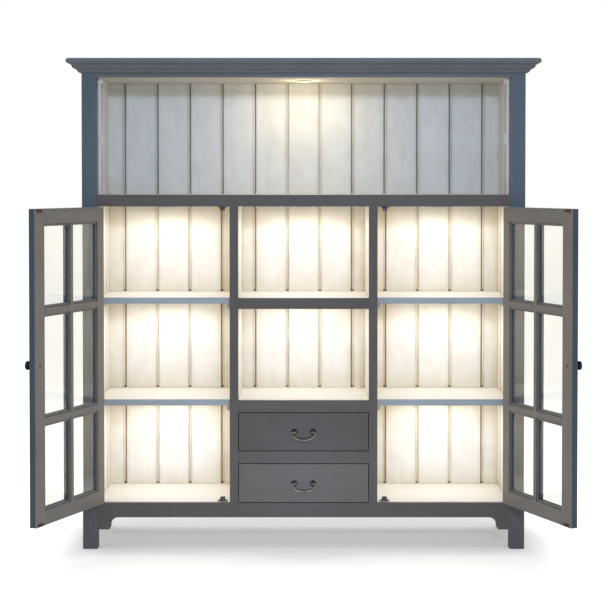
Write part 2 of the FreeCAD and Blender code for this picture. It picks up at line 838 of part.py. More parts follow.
def shelf_ladder():
    """The grooved upright behind the front post in the top bay, with its top and middle shelf rests."""
    y0 = front_post_depth + ladder_front_gap
    y1 = y0 + ladder_width
    middle_y = (y0 + y1) / 2
    x0 = half_opening - ladder_depth
    high = top_opening_top - top_rest_height
    upright = block(x0, half_opening, y0, y1, deck_top, high)
    groove = block(x0 - overrun, x0 + ladder_groove, middle_y - ladder_groove / 2,
                   middle_y + ladder_groove / 2, deck_top - overrun, high + overrun)
    rest_y0 = middle_y - rest_depth / 2
    top_rest = block(half_opening - rest_width, half_opening, rest_y0, rest_y0 + rest_depth,
                     high, top_opening_top)
    low = deck_top + middle_rest_rise
    rest_x0 = half_opening - rest_width
    middle_rest = block(rest_x0, x0, rest_y0, rest_y0 + rest_depth, low, low + middle_rest_height)
    ridges = int(middle_rest_height // rest_ridge_pitch)
    notches = [block(rest_x0 - overrun, rest_x0 + rest_ridge_depth, rest_y0 - overrun,
                     rest_y0 + rest_depth + overrun, low + (step - 0.5) * rest_ridge_pitch,
                     low + step * rest_ridge_pitch) for step in range(1, ridges + 1)]
    return [upright.cut(groove), top_rest, without(middle_rest, notches)]


# The carcass
right_post = front_posts()
nodes["front_right_post"] = [right_post]
nodes["front_left_post"] = mirrored([right_post])
nodes["back_posts"] = with_mirror([back_posts()])
nodes["top_rail"] = [frame_rail(half_opening, top_opening_top, body_top)]
nodes["middle_rail"] = [frame_rail(half_opening, middle_rail_bottom, deck_top)]
nodes["base_rail"] = [frame_rail(half_opening, base_clearance, floor_top)]
nodes["base_brackets"] = with_mirror([foot_bracket()])
nodes["centre_stiles"] = with_mirror([centre_stile()])
nodes["bay_rails"] = [
    frame_rail(half_column, divider_bottom, divider_top),
    frame_rail(half_column, upper_drawer_top, lower_shelf_top),
    frame_rail(half_column, upper_shelf_top - upper_bay_rail_height, upper_shelf_top),
]
nodes["back_planks"] = back_planks()
nodes["partitions"] = with_mirror([partition()])
nodes["carcass_top"] = [full_deck(top_opening_top)]
nodes["middle_deck"] = [full_deck(deck_bottom)]
nodes["carcass_bottom"] = [full_deck(floor_top - deck_thickness)]
nodes["bay_ceilings"] = with_mirror([bay_ceiling(bay_inner, half_opening)])
nodes["bay_ceilings"].append(bay_ceiling(-half_column, half_column))
nodes["side_linings"] = with_mirror(side_lining())
nodes["side_panels"] = with_mirror(side_panels())
nodes["side_rails"] = with_mirror(side_rails())
nodes["cornice_moulding"] = mitred_runs(cornice_profile())
nodes["cornice_cap"] = [cornice_cap()]

# Shelves, fittings and lights
shelf_tops = (lower_shelf_top, upper_shelf_top)
nodes["adjustable_shelves"] = with_mirror([side_shelf(top) for top in shelf_tops])
nodes["shelf_lippings"] = with_mirror([shelf_front(top) for top in shelf_tops])
nodes["shelf_cleats"] = with_mirror([cleat for top in shelf_tops for cleat in shelf_cleats(top)])
nodes["centre_decks"] = [centre_deck(top) for top in shelf_tops]
nodes["drawer_runners"] = with_mirror([drawer_runner(bottom) for bottom in (floor_top, divider_top)])
nodes["shelf_ladders"] = with_mirror(shelf_ladder())
nodes["catch_housings"] = with_mirror([catch(floor_top, 1), catch(middle_rail_bottom, -1)])
nodes["hinge_frame_leaves"] = with_mirror([frame_leaf(low) for low in hinge_levels()])
nodes["hinge_pins"] = with_mirror([hinge_pin(low) for low in hinge_levels()])
nodes["puck_bezels"] = [puck_bezel(place) for place in puck_places()]
nodes["puck_lenses"] = [puck_lens(place) for place in puck_places()]

# Doors and drawers
for name, solids in door_nodes().items():
    nodes["right_door_" + name] = solids
    nodes["left_door_" + name] = mirrored(solids)
drawers = {"lower_drawer": (floor_top, divider_bottom), "upper_drawer": (divider_top, upper_drawer_top)}
for drawer, opening in drawers.items():
    for name, solids in drawer_nodes(*opening).items():
        nodes[drawer + "_" + name] = solids

# The origin goes to the middle of the footprint, which reaches from the open doors to the back
reach = Part.makeCompound([solid for solids in nodes.values() for solid in solids]).optimalBoundingBox()
origin_y = (reach.YMin + reach.YMax) / 2

for name, solids in nodes.items():
    shape = solids[0] if len(solids) == 1 else Part.makeCompound(solids)
    shape.translated(Vector(0, -origin_y, 0)).exportStep("parts/" + name + ".step")
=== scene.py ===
"""The looks of the kitchen cupboard: paint, glass, wood, metal, small fittings and lights, and the studio."""
import json
import math
from functools import partialmethod, reduce
from operator import or_

import bmesh
import bpy
from bpy.props import FloatProperty, FloatVectorProperty, IntProperty, PointerProperty
from bpy.types import Operator, Panel, PropertyGroup
from mathutils import Matrix, Vector
from mathutils.geometry import interpolate_bezier


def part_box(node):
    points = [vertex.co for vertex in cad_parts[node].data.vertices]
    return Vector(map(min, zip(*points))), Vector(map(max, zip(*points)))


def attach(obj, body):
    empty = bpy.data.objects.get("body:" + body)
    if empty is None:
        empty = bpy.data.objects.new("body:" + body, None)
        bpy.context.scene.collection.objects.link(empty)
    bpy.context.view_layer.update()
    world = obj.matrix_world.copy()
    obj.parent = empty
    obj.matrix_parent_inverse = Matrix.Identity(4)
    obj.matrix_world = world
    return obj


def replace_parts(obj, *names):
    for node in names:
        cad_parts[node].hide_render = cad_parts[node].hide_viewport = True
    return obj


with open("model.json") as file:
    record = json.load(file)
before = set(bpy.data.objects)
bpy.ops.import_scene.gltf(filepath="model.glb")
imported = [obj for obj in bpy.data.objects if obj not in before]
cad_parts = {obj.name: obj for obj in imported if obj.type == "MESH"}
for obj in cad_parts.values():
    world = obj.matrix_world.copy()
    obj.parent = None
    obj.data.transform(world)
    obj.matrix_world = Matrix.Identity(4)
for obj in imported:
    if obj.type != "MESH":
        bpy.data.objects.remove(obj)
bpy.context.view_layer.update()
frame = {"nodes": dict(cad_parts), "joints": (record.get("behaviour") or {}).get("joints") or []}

bl_info = {
    "name": "Kitchen cupboard",
    "version": (1, 0, 0),
    "blender": (4, 5, 0),
    "location": "3D View > Sidebar > Cupboard",
    "description": "Paints and fits out the kitchen cupboard, and lights it in a white studio",
    "category": "Object",
}

MM = 0.001
# Thickness of the decks and of the loose shelves
DECK, SHELF = 18 * MM, 25 * MM
# Faces that meet more sharply than this keep a crisp arris
ARRIS = math.radians(38)
# Half the section of a screw's head: across as a share of its radius, and up as a share of its height
HEAD = ((0, -1), (1, -1), (1, 0.3), (0.9, 0.7), (0.6, 1), (0, 1))
DOORS = ("left_door", "right_door")
DRAWERS = ("lower_drawer", "upper_drawer")


def linear(code):
    """The linear colour of an sRGB hex value."""
    channels = [int(code[i:i + 2], 16) / 255 for i in (0, 2, 4)]
    return tuple(c / 12.92 if c <= 0.04045 else ((c + 0.055) / 1.055) ** 2.4 for c in channels)


def colour(name, description, code):
    return FloatVectorProperty(name=name, description=description, subtype="COLOR", size=3, min=0, max=1,
                               default=linear(code))


def number(name, description, value, **kind):
    return FloatProperty(name=name, description=description, default=value, **kind)


def length(name, description, value):
    return number(name, description, value, subtype="DISTANCE", unit="LENGTH", min=0, precision=5)


def share(name, description, value):
    return number(name, description, value, subtype="FACTOR", min=0, max=1)


def power(name, description, value):
    return number(name, description, value, subtype="POWER", unit="POWER", min=0)


def angle(name, description, degrees):
    return number(name, description, math.radians(degrees), subtype="ANGLE", unit="ROTATION")


class CupboardPaint(PropertyGroup):
    # Painted light: these are copies of one slate paint, tinted for the light on each part. Outer slate is
    # bluer for the cool light on the outer parts, cornice slate paler for the brighter light there, door slate
    # darker as painted shade on the doors, inner slate warmer for the bays' warm light, and low slate browner
    # for the warmer light near the floor
    outer_slate: colour("Outer slate", "Brushed paint on the posts and sides", "5b6469")
    lit_crown_slate: colour("Cornice slate", "The same paint on the cornice, rubbed paler", "6c7070")
    warm_lit_low_slate: colour("Low slate", "Posts near the floor, where brown glaze lies on the slate", "615e5d")
    # Glaze and painted shade: this dark colour goes where occlusion finds hollows, on the cornice and round the
    # doors' bars, beads and hinge edges
    hollow_glaze_and_shade: colour("Hollow glaze", "Dark glaze in the hollows of the slate paint", "3a3734")
    door_slate: colour("Door slate", "The same paint on the doors, a shade darker", "4d5358")
    inner_slate: colour("Inner slate", "Brushed paint on the rails, centre stiles and drawers", "605952")
    # Glaze and painted light: the taupe of the doors' inner faces is brown glaze and also a painted reflection
    # of the lit bays
    glazed_and_lit_slate: colour("Glazed slate", "The doors' inner faces, under brown glaze", "7d766c")
    shelf_slate: colour("Shelf slate", "Paler paint on the front edges of the loose shelves", "a6abab")
    cream: colour("Cream", "Paint on the boards, shelves and linings", "eeeae4")
    # Painted light: a cooler copy of the cream, for the cooler light in the top bay
    cool_lit_cream: colour("Cool cream", "The greyer cream of the boards in the top bay", "e8e9e6")
    # Painted shade: a darker copy of the cream for the dimmer light on the top bay's ceiling
    shaded_ceiling_cream: colour("Ceiling cream", "The cream of the top bay's ceiling, under more glaze", "cbc2b0")
    # Painted shade: a yellow tint of the cream round the corners, where the bays' lights reach less
    wide_corner_shade: colour("Stain", "Yellowed cream near the corners of the boards", "cdbe86")
    glaze: colour("Glaze", "Brown glaze wiped into the grooves, corners and brush marks", "7b6a4e")
    # Painted shade: the groove shades multiply the walls of the grooves that face away from the bay's lamp,
    # warm below and cool in the top bay
    groove_shade: colour("Groove shade", "What the dark wall of a groove multiplies the paint with", "b9a37e")
    cool_shade: colour("Cool groove shade", "The same in the top bay", "a8a9a6")
    matt: share("Matt", "How little the milk paint shines, as a specular level", 0.2)
    stroke_width: length("Brush stroke", "Width of a brush mark, coarser than the real 1 mm so that it shows",
                         4 * MM)
    stroke_length: length("Stroke length", "Length of a brush mark", 260 * MM)
    plank_width: length("Plank width", "Width of one upright board, from groove to groove", 142.8 * MM)
    groove_half_width: length("Groove half width", "From the middle of a groove to its edge", 6 * MM)
    glaze_line: length("Glaze line", "Width of the brown line on a groove's edge", 2.4 * MM)
    # Corner glaze is glaze with painted shade in the corners; the corner stain reach is that of a wider painted
    # shade round them
    corner_glaze_and_shade: length("Corner glaze", "How far from a corner the glaze lies", 8 * MM)
    wide_shade_reach: length("Corner stain", "How far from a corner the paint is stained", 110 * MM)
    door_thickness: length("Door thickness", "From a door's front to its inner face", 30 * MM)
    bead_sink: length("Bead sink", "How far the glazing beads lie below that inner face", 5 * MM)
    bead_slack: length("Bead slack", "How far before the beads' faces the glazed paint starts", 0.5 * MM)
    # The paler arrises are worn paint and a painted highlight
    rubbed_edge: length("Rubbed edge", "How far from an arris the paint is rubbed thin", 2 * MM)
    hollow_reach: length("Hollow reach", "How near a hollow's walls stand to each other", 30 * MM)
    # Painted light: between these heights the posts turn from the outer slate to the browner low slate
    brown_top: length("Brown top", "Height above which the posts have no brown glaze", 1.5)
    brown_foot: length("Brown foot", "Height below which the brown glaze covers them", 0.35)
    # The foot of each groove is darker brown up to this height
    pool_height: length("Pool height", "How high the glaze stands at the foot of a groove", 10 * MM)
    joint_line: length("Joint line", "Half the width of the joints in the outside of the back", 0.9 * MM)
    outer_skin: length("Outer skin", "How deep the slate paint of the outside of the back reaches", 5 * MM)
    slack: length("Slack", "What a mask reaches past the edge that it stops at", 1 * MM)


class CupboardMetal(PropertyGroup):
    bronze: colour("Dark bronze", "Oiled bronze of the knobs, catches and strikes", "625a54")
    copper: colour("Copper", "Coppered screws that hold the knobs", "4a2e26")
    brass: colour("Aged brass", "Bright metal of the drawer pulls, under its brown patina", "9c9684")
    patina: colour("Patina", "Dark patina in the hollows of the drawer pulls", "2b2a27")
    steel: colour("Hinge steel", "Blackened steel of the hinges and screws", "5c5b59")
    coating: colour("White coating", "Powder coat on the rings of the puck lights", "b9b1a1")
    worn_edge: length("Worn edge", "How far from an arris the skin is worn through", 0.8 * MM)
    hollow: length("Hollow", "How near a hollow's walls stand where the skin stays thick", 3 * MM)


class CupboardFittings(PropertyGroup):
    ball_radius: length("Ball", "Radius of the ball at the end of a pull's post", 6 * MM)
    boss_radius: length("Eye boss", "Radius of the boss that the bail turns in", 3.7 * MM)
    boss_reach: length("Eye boss reach", "Half the length of that boss", 6.6 * MM)
    rod_radius: length("Bail rod", "Radius of the bail near its eyes", 2.7 * MM)
    grip_radius: length("Bail grip", "Radius of the bail beside its middle bead", 3.6 * MM)
    bail_radius: length("Bail's CAD rod", "Radius of the solid bail's rod", 2.75 * MM)
    bead_radius: length("Bail bead", "Radius of the bead in the middle of the bail", 5 * MM)
    eye_depth: length("Eye depth", "From a post's outer side to the bail's end in its eye", 20 * MM)
    door_gap: length("Door gap", "Between a closed door and the centre stile", 2 * MM)
    knob_inset: length("Knob inset", "From the door's free edge to the middle of its knob", 30 * MM)
    nut_radius: length("Nut", "Corner radius of the hexagonal nut behind a post", 5 * MM)
    leaf_screw: length("Hinge screw", "Radius of a hinge screw's head", 3.4 * MM)
    plate_screw: length("Plate screw", "Radius of a strike or catch screw's head", 2.4 * MM)
    flush: length("Flush", "How far a countersunk head stands proud", 0.15 * MM)
    proud: length("Proud", "How far a round head stands proud", 0.9 * MM)
    slot_share: share("Screw slot", "Width of a screw's slot as a share of its head's radius", 0.28)
    leaf_inset: length("Leaf inset", "From a hinge leaf's ends to its outer screws", 13 * MM)
    leaf_height: length("Leaf height", "Height of a hinge leaf", 76 * MM)
    leaf_gap: length("Leaf gap", "From a hinge leaf's face to the hinge's axis", 0.3 * MM)
    catch_length: length("Catch length", "Length of a catch's plate", 40 * MM)
    catch_plate: length("Catch plate", "Thickness of that plate", 3 * MM)
    catch_screws: length("Catch screws", "From a catch's middle to its screws", 15.5 * MM)
    strike_screws: length("Strike screws", "From a strike's middle to its screws", 13 * MM)
    strike_inset: length("Strike inset", "From the strikes' outer edges to their screws", 5 * MM)
    strike_gap: length("Strike gap", "From a closed strike's face to its catch", 0.5 * MM)
    nail_radius: length("Nail head", "Radius of the nail heads in the outside of the back", 2.4 * MM)
    nail_inset: length("Nail inset", "From a board's edge to its nails", 28 * MM)
    seed: IntProperty(name="Seed", description="Turns the screw slots at random", default=7, min=0)


class CupboardLight(PropertyGroup):
    warm: colour("Warm light", "Colour of the puck lights", "fff8ea")
    top_warm: colour("Warm top light", "Colour of the light in the top bay", "ffedcc")
    side_power: power("Side bays", "Power of each light in the side bays", 1.15)
    bay_glow: power("Bay glow", "Power of the soft light that each bay throws back on itself", 0.8)
    centre_power: power("Centre bays", "Power of each light in the centre bays", 1.05)
    top_power: power("Top bay", "Power of the light in the top bay", 0.85)
    top_glow: power("Top bay glow", "Power of the soft light that the top bay throws back on itself", 0.8)
    lens_radius: length("Lens radius", "Radius of a puck light's lens", 27 * MM)
    bulb: length("Bulb", "Radius of a bay's lamp", 15 * MM)
    spread: angle("Spread", "Angle of a puck light's cone", 167)
    soft_rim: share("Soft rim", "How much of the cone its soft rim takes", 0.2)
    top_panel: length("Top panel", "Width of the top bay's soft light", 0.5)
    bay_panel: length("Bay panel", "Width of the soft light in the other bays", 0.42)
    panel_depth: length("Panel depth", "Depth of the soft lights", 0.30)
    drop: length("Drop", "From a bay's ceiling to its lamp", 18 * MM)
    top_drop: length("Top drop", "From the top bay's ceiling to its lamp", 42 * MM)
    glow: number("Lens glow", "Strength of the lens's own glow", 0.2, min=0)


class CupboardStudio(PropertyGroup):
    world_level: number("Room light", "Level of the even light from all round", 0.52, min=0)
    world_colour: colour("Room colour", "Colour of the even light", "e9f0ff")
    key_colour: colour("Key colour", "Colour of the lamp above the camera", "c0daff")
    key_power: power("Key", "Power of the lamp above the camera", 125)
    low_power: power("Low light", "Power of the lamp that stands for the white floor's shine", 3.5)
    top_power: power("Top light", "Power of the large lamp above the cupboard", 135)
    glass_loss: share("Glass loss", "How much of the floor's lift glass takes", 0.21)
    floor_colour: colour("Floor", "Colour of the floor", "f3ece0")
    # Painted shadow: the floor's glow is weaker near the cupboard, so that a soft shadow shows round its base
    # on top of the lamps' own, and it rises sooner at the sides
    near_lift: number("Near lift", "Brightness that the camera adds to the floor near by", 0.26, min=0)
    far_lift: number("Far lift", "Brightness that the camera adds to the floor far off", 0.8, min=0)
    near_reach: length("Near reach", "How far the floor near the cupboard reaches", 0)
    far_reach: length("Far reach", "Where the far floor starts, in front and behind", 2.2)
    side_rise: number("Side rise", "How much nearer the far floor starts at the sides", 12, min=1)
    floor_size: length("Floor size", "Half the width of the floor", 300)
    camera_y: number("Camera Y", "Place of the camera in front of the cupboard", -6.7972, unit="LENGTH")
    camera_z: number("Camera Z", "Height of the camera", 1.5151, unit="LENGTH")
    camera_pitch: angle("Pitch", "How far the camera looks down", 1.5)
    focal_length: number("Focal length", "Focal length in mm", 98.07)
    sensor: number("Sensor", "Width of the camera's sensor in mm", 36)
    shift_x: number("Shift X", "Sideways shift of the frame", 0.0007)
    shift_y: number("Shift Y", "Upward shift of the frame", -0.1270)
    clip_end: length("Clip end", "How far the camera sees", 100)


def settings(name):
    return getattr(bpy.context.scene, "cupboard_" + name)


# Nodes and materials


def add(tree, kind, links=(), **values):
    """Adds a node with its settings and links."""
    made = tree.nodes.new(kind)
    for name, value in values.items():
        setattr(made, name, value)
    feed(made, links)
    return made


def feed(node, links):
    """Sets inputs. Links pairs an input's name or number with a value, or with what feeds it."""
    for key, value in dict(links).items():
        socket = node.inputs[key]
        source = getattr(value, "socket", value)
        if isinstance(source, bpy.types.NodeSocket):
            node.id_data.links.new(source, socket)
        else:
            socket.default_value = (*value, 1) if socket.type == "RGBA" else value


class Field:
    """What an output of a node tree says at each point, with the sums and nodes that can follow from it."""

    def __init__(self, tree, socket):
        self.tree, self.socket = tree, socket

    def node(self, kind, links=(), output=0, **values):
        """One output of a new node in the same tree."""
        return Field(self.tree, add(self.tree, kind, links, **values).outputs[output])

    def sum(self, operation, *terms):
        """A sum of this field and other terms. The signs below stand for the common ones, and | for the
        larger of two."""
        return self.node("ShaderNodeMath", dict(enumerate((self, *terms))), operation=operation)

    __add__ = partialmethod(sum, "ADD")
    __sub__ = partialmethod(sum, "SUBTRACT")
    __mul__ = partialmethod(sum, "MULTIPLY")
    __truediv__ = partialmethod(sum, "DIVIDE")
    __gt__ = partialmethod(sum, "GREATER_THAN")
    __lt__ = partialmethod(sum, "LESS_THAN")
    __or__ = partialmethod(sum, "MAXIMUM")
    __abs__ = partialmethod(sum, "ABSOLUTE")

    def __rsub__(self, other):
        return self.node("ShaderNodeMath", {0: other, 1: self}, operation="SUBTRACT")

    def __getitem__(self, axis):
        return self.node("ShaderNodeSeparateXYZ", {0: self}, axis)

    def ramp(self, *stops):
        """A colour ramp through grey levels, given as pairs of place and level."""
        made = add(self.tree, "ShaderNodeValToRGB", {0: self})
        elements = made.color_ramp.elements
        while len(elements) < len(stops):
            elements.new(0.5)
        for element, (place, level) in zip(elements, stops):
            element.position = place
            element.color = (level, level, level, 1)
        return Field(self.tree, made.outputs[0])

    def noise(self, size, detail=3.0, rough=0.55):
        """Noise at these coordinates, whose features have a size in metres, alike or along each axis."""
        sizes = size if isinstance(size, tuple) else (size,) * 3
        stretched = self.node("ShaderNodeMapping", {0: self, "Scale": tuple(1 / along for along in sizes)})
        return self.node("ShaderNodeTexNoise", {"Vector": stretched, "Scale": 1.0, "Detail": detail,
                                                "Roughness": rough}, "Fac")

    def mix(self, first, second, mode="MIX"):
        """The first colour where this field is 0, and the second where it is 1."""
        links = {0: self, 6: first, 7: second}
        return self.node("ShaderNodeMix", links, 2, data_type="RGBA", blend_type=mode)


def started(name):
    """A new material with its shader and its object coordinates."""
    material = bpy.data.materials.new(name)
    material.use_nodes = True
    tree = material.node_tree
    tree.nodes.clear()
    shader = add(tree, "ShaderNodeBsdfPrincipled")
    add(tree, "ShaderNodeOutputMaterial", {"Surface": shader.outputs[0]})
    return material, shader, Field(tree, add(tree, "ShaderNodeTexCoord").outputs["Object"])


def covered(shader, surface):
    """Puts another surface in the shader's place in its material."""
    feed(next(node for node in shader.id_data.nodes if node.type == "OUTPUT_MATERIAL"), {"Surface": surface})


def surfaced(shader, coat, roughness, relief, depth, strength, others=()):
    """Gives a shader its colour, its roughness and a relief that is depth metres high."""
    bump = relief.node("ShaderNodeBump", {"Height": relief, "Distance": depth, "Strength": strength})
    feed(shader, {"Base Color": coat, "Roughness": roughness, "Normal": bump, **dict(others)})


def shaded(base, share_of_change):
    """A colour made darker or lighter by a share."""
    return tuple(min(1, channel * (1 + share_of_change)) for channel in base)


def toned(shade, base, down=-0.13, up=0.11):
    """A colour that a field makes darker or lighter."""
    return shade.mix(shaded(base, down), shaded(base, up))


def stroke_scale(upright):
    paint = settings("paint")
    across, along = paint.stroke_width, paint.stroke_length
    return (across, across, along) if upright else (along, along, across)


def open_share(place, reach, samples=4):
    """How open a point is to its surroundings, out to a distance."""
    return place.node("ShaderNodeAmbientOcclusion", {"Distance": reach}, "AO", samples=samples)


def worn_and_highlit_arrises(place, radius):
    """A mask of the arrises, broken up where the rubbing missed: wear, and on the slate paint a painted
    highlight as well.
    """
    normals = (place.node("ShaderNodeBevel", {"Radius": radius}, samples=4),
               place.node("ShaderNodeNewGeometry", output="Normal"))
    turn = place.node("ShaderNodeVectorMath", dict(enumerate(normals)), "Value", operation="DOT_PRODUCT")
    return turn.ramp((0.75, 1), (0.985, 0)) * place.noise(30 * MM).ramp((0.4, 0), (0.62, 1))


def slate_paint(name, base, upright, rubbed=0.5, inside=None, marks=(), hollows=0.0, browned=False,
                lined=False):
    """Matt milk paint, brushed along the board and waxed: faint long strokes, soft mottling, a low broken
    sheen, and arrises rubbed a little paler, worn paint with a painted highlight. Inside is a point and
    a direction: what lies that way is an inner face and wears brown glaze, with a painted reflection of
    the lit bays. Marks are scuffs, each a middle, half a length and half a height in the board's face.
    Hollows is how much dark glaze lies in them, with painted shade. Browned paint turns brown towards the
    floor, a painted warmer light, and a lined post is cream on the side that faces the bays."""
    paint = settings("paint")
    material, shader, place = started(name)
    strokes = place.noise(stroke_scale(upright), detail=4)
    mottle = place.noise(140 * MM, detail=2)
    shade = (strokes * 0.6 + mottle * 0.4).ramp((0.32, 0), (0.68, 1))
    coat = toned(shade, base)
    # Glaze and painted light: the inner faces take the glazed slate, which also paints the lit bays' reflection
    if inside:
        point, direction = inside
        from_face = place.node("ShaderNodeVectorMath", {0: place, 1: tuple(point)}, operation="SUBTRACT")
        depth = place.node("ShaderNodeVectorMath", {0: from_face, 1: tuple(direction)}, "Value",
                           operation="DOT_PRODUCT")
        coat = (depth > 0.0).mix(coat, toned(shade, paint.glazed_and_lit_slate, -0.16, 0.14))
    # Painted light: the paint turns browner towards the floor, for the warmer light low down
    if browned:
        level = place.node("ShaderNodeMapRange", {"Value": place[2], "From Min": paint.brown_top,
                                                  "From Max": paint.brown_foot})
        coat = level.mix(coat, toned(shade, paint.warm_lit_low_slate))
    # Glaze and painted shade in the hollows, found by occlusion
    if hollows:
        caught = open_share(place, paint.hollow_reach).ramp((0.36, 1), (0.88, 0)) * hollows
        coat = caught.mix(coat, paint.hollow_glaze_and_shade)
    for middle, half_length, half_height in marks:
        links = {0: place, "Location": tuple(middle), "Scale": (half_length, 1.0, half_height)}
        away = place.node("ShaderNodeMapping", links, vector_type="TEXTURE")
        spread = place.node("ShaderNodeVectorMath", {0: away}, "Value", operation="LENGTH")
        coat = (spread + strokes * 0.9).ramp((0.75, 0.8), (1, 0)).mix(coat, shaded(base, -0.75))
    # Worn paint and a painted highlight on the arrises
    coat = (worn_and_highlit_arrises(place, paint.rubbed_edge) * rubbed).mix(coat, shaded(base, 0.9))
    if lined:
        coat = facing_bays(place).mix(coat, paint.cream)
    sheen = (strokes * 0.5 + mottle * 0.5).ramp((0.3, 0.33), (0.7, 0.50))
    surfaced(shader, coat, sheen, strokes, 0.35 * MM, 0.5, {"Specular IOR Level": paint.matt})
    return material


def facing_bays(place):
    """A mask of the posts' faces inside the bays."""
    post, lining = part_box("front_right_post"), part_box("side_linings")
    return ((abs(place[0]) < post[0].x + settings("paint").slack) * (place[1] > post[1].y)
            * (place[2] > lining[0].z) * (place[2] < lining[1].z))


def corner_glaze_and_shade(place, in_groove=None):
    """A mask of the glaze that the rag left in corners, with painted shade in it, broken up along them, and a
    mask of the wider painted shade round it. In a groove the first lies only where the groove ends in a corner."""
    paint = settings("paint")
    near = open_share(place, paint.corner_glaze_and_shade)
    if in_groove:
        near = near + in_groove * 0.25
    broken = place.noise(35 * MM, detail=4).ramp((0.30, 0.55), (0.62, 1))
    wide_corner_shade = open_share(place, paint.wide_shade_reach).ramp((0.35, 0.55), (0.92, 0)) * broken
    return near.ramp((0.30, 0.85), (0.75, 0)) * broken, wide_corner_shade


def nail_heads(to_joint, height):
    """A mask of the nail heads in the outside of the back, two in each board at each rail."""
    fitting = settings("fittings")
    low, high = (corner.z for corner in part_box("back_planks"))
    across = to_joint - fitting.nail_inset
    heads = []
    for level in (low + fitting.nail_inset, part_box("middle_deck")[1].z - DECK / 2, high - fitting.nail_inset):
        up = height - level
        heads.append((across * across + up * up).sum("SQRT") < fitting.nail_radius)
    return reduce(or_, heads)


def lamp_side():
    """X of the lights in the right-hand bays."""
    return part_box("puck_lenses")[1].x - settings("light").lens_radius


def outer_bays(across):
    """A mask of the back beyond the centre stiles."""
    return abs(across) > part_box("centre_stiles")[1].x


def nearest_lamp(across, height):
    """X of the light above a point of the back."""
    return outer_bays(across) * (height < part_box("middle_deck")[0].z) * (across.sum("SIGN") * lamp_side())


def groove_feet(to_joint, across, height):
    """A mask of darker brown at the feet of the back's grooves, on every shelf."""
    paint = settings("paint")
    shelves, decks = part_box("adjustable_shelves"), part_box("centre_decks")
    half = paint.pool_height / 2
    side, centre = (reduce(or_, [abs(height - (level + half)) < half for level in levels]) for levels in (
        (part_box("carcass_bottom")[1].z, shelves[0].z + SHELF, shelves[1].z), (decks[0].z + DECK, decks[1].z)))
    outer = outer_bays(across)
    inside = to_joint < paint.groove_half_width + paint.slack
    return (outer * side + (1.0 - outer) * centre) * inside * 0.75


def painted_wall_shade(along, from_centre, lamp):
    """A mask of the groove walls that face away from the bay's light, which painted shade shows as dark lines.
    """
    paint = settings("paint")
    signed = from_centre.sum("WRAP", paint.plank_width, 0.0) - paint.plank_width / 2
    away = along - lamp
    far = abs(away).ramp((0.04, 0.1), (0.18, 1))
    return (signed * away < 0.0) * (abs(signed) < paint.groove_half_width) * far


def brushed(shader, coat, strokes):
    """Gives cream paint its low sheen and the relief of its brush marks."""
    surfaced(shader, coat, strokes.ramp((0.3, 0.46), (0.7, 0.6)), strokes, 0.2 * MM, 0.35,
             {"Specular IOR Level": settings("paint").matt})


def glazed_boards(name, axis, centre):
    """Cream paint on tongued boards, wiped with brown glaze, which stays along the edges of the grooves, in
    the corners and faintly in the brush marks. In the corners painted shade goes with the glaze and yellows
    the paint round them, painted shade darkens the groove walls that face away from each bay's lamp, the
    feet of the grooves are darker brown, and the top bay's boards are a cooler cream, painted for its cooler
    light. The outside of the back is slate, with rusted nail heads."""
    paint = settings("paint")
    material, shader, place = started(name)
    across, height = place[axis], place[2]
    half = paint.plank_width / 2
    from_centre = across - centre
    to_joint = half - from_centre.sum("PINGPONG", half)
    from_edge = abs(to_joint - paint.groove_half_width)
    line = (from_edge / (8 * paint.glaze_line)).ramp((0, 0.8), (0.06, 0.5), (0.13, 0.12), (0.5, 0.06), (1, 0))
    line = line * place.noise((3 * MM, 3 * MM, 120 * MM), detail=4).ramp((0.32, 0.25), (0.60, 1))
    strokes = place.noise(stroke_scale(True), detail=5)
    # Glaze with painted shade in the corners, and a wider yellowish painted shade round them
    corners, wide_corner_shade = corner_glaze_and_shade(place, to_joint < paint.groove_half_width)
    feet = 0.0 if axis else groove_feet(to_joint, across, height)
    glaze = line | strokes.ramp((0.52, 0), (0.85, 0.10)) | corners | feet
    board = (from_centre / paint.plank_width + 0.5).sum("FLOOR")
    tone = place.node("ShaderNodeTexWhiteNoise", {"W": board}, "Value", noise_dimensions="1D")
    mottle = place.noise((60 * MM, 60 * MM, 110 * MM))
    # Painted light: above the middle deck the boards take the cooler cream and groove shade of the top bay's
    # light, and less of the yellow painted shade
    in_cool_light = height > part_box("middle_deck")[0].z
    worn = tone * 0.3 + mottle.ramp((0.38, 0), (0.68, 1)) * 0.5
    pale = worn.mix(in_cool_light.mix(paint.cream, paint.cool_lit_cream), linear("efece6"), "MULTIPLY")
    wide_corner_shade = wide_corner_shade * (1.0 - in_cool_light * 0.6)
    coloured = glaze.mix(wide_corner_shade.mix(pale, paint.wide_corner_shade), paint.glaze)
    low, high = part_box("puck_lenses")
    # Painted shade: the groove walls that face away from the bay's lamp are multiplied darker
    walls = painted_wall_shade(across, from_centre, (low.y + high.y) / 2 if axis else nearest_lamp(across, height))
    coloured = walls.mix(coloured, in_cool_light.mix(paint.groove_shade, paint.cool_shade), "MULTIPLY")
    slate = paint.outer_slate
    back = (to_joint < paint.joint_line).mix(toned(strokes, slate, -0.12, 0.12), shaded(slate, -0.75))
    back = nail_heads(to_joint, height).mix(back, shaded(settings("metal").copper, -0.4))
    outside = place[1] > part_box("back_planks")[1].y - paint.outer_skin
    brushed(shader, outside.mix(coloured, back), strokes)
    return material


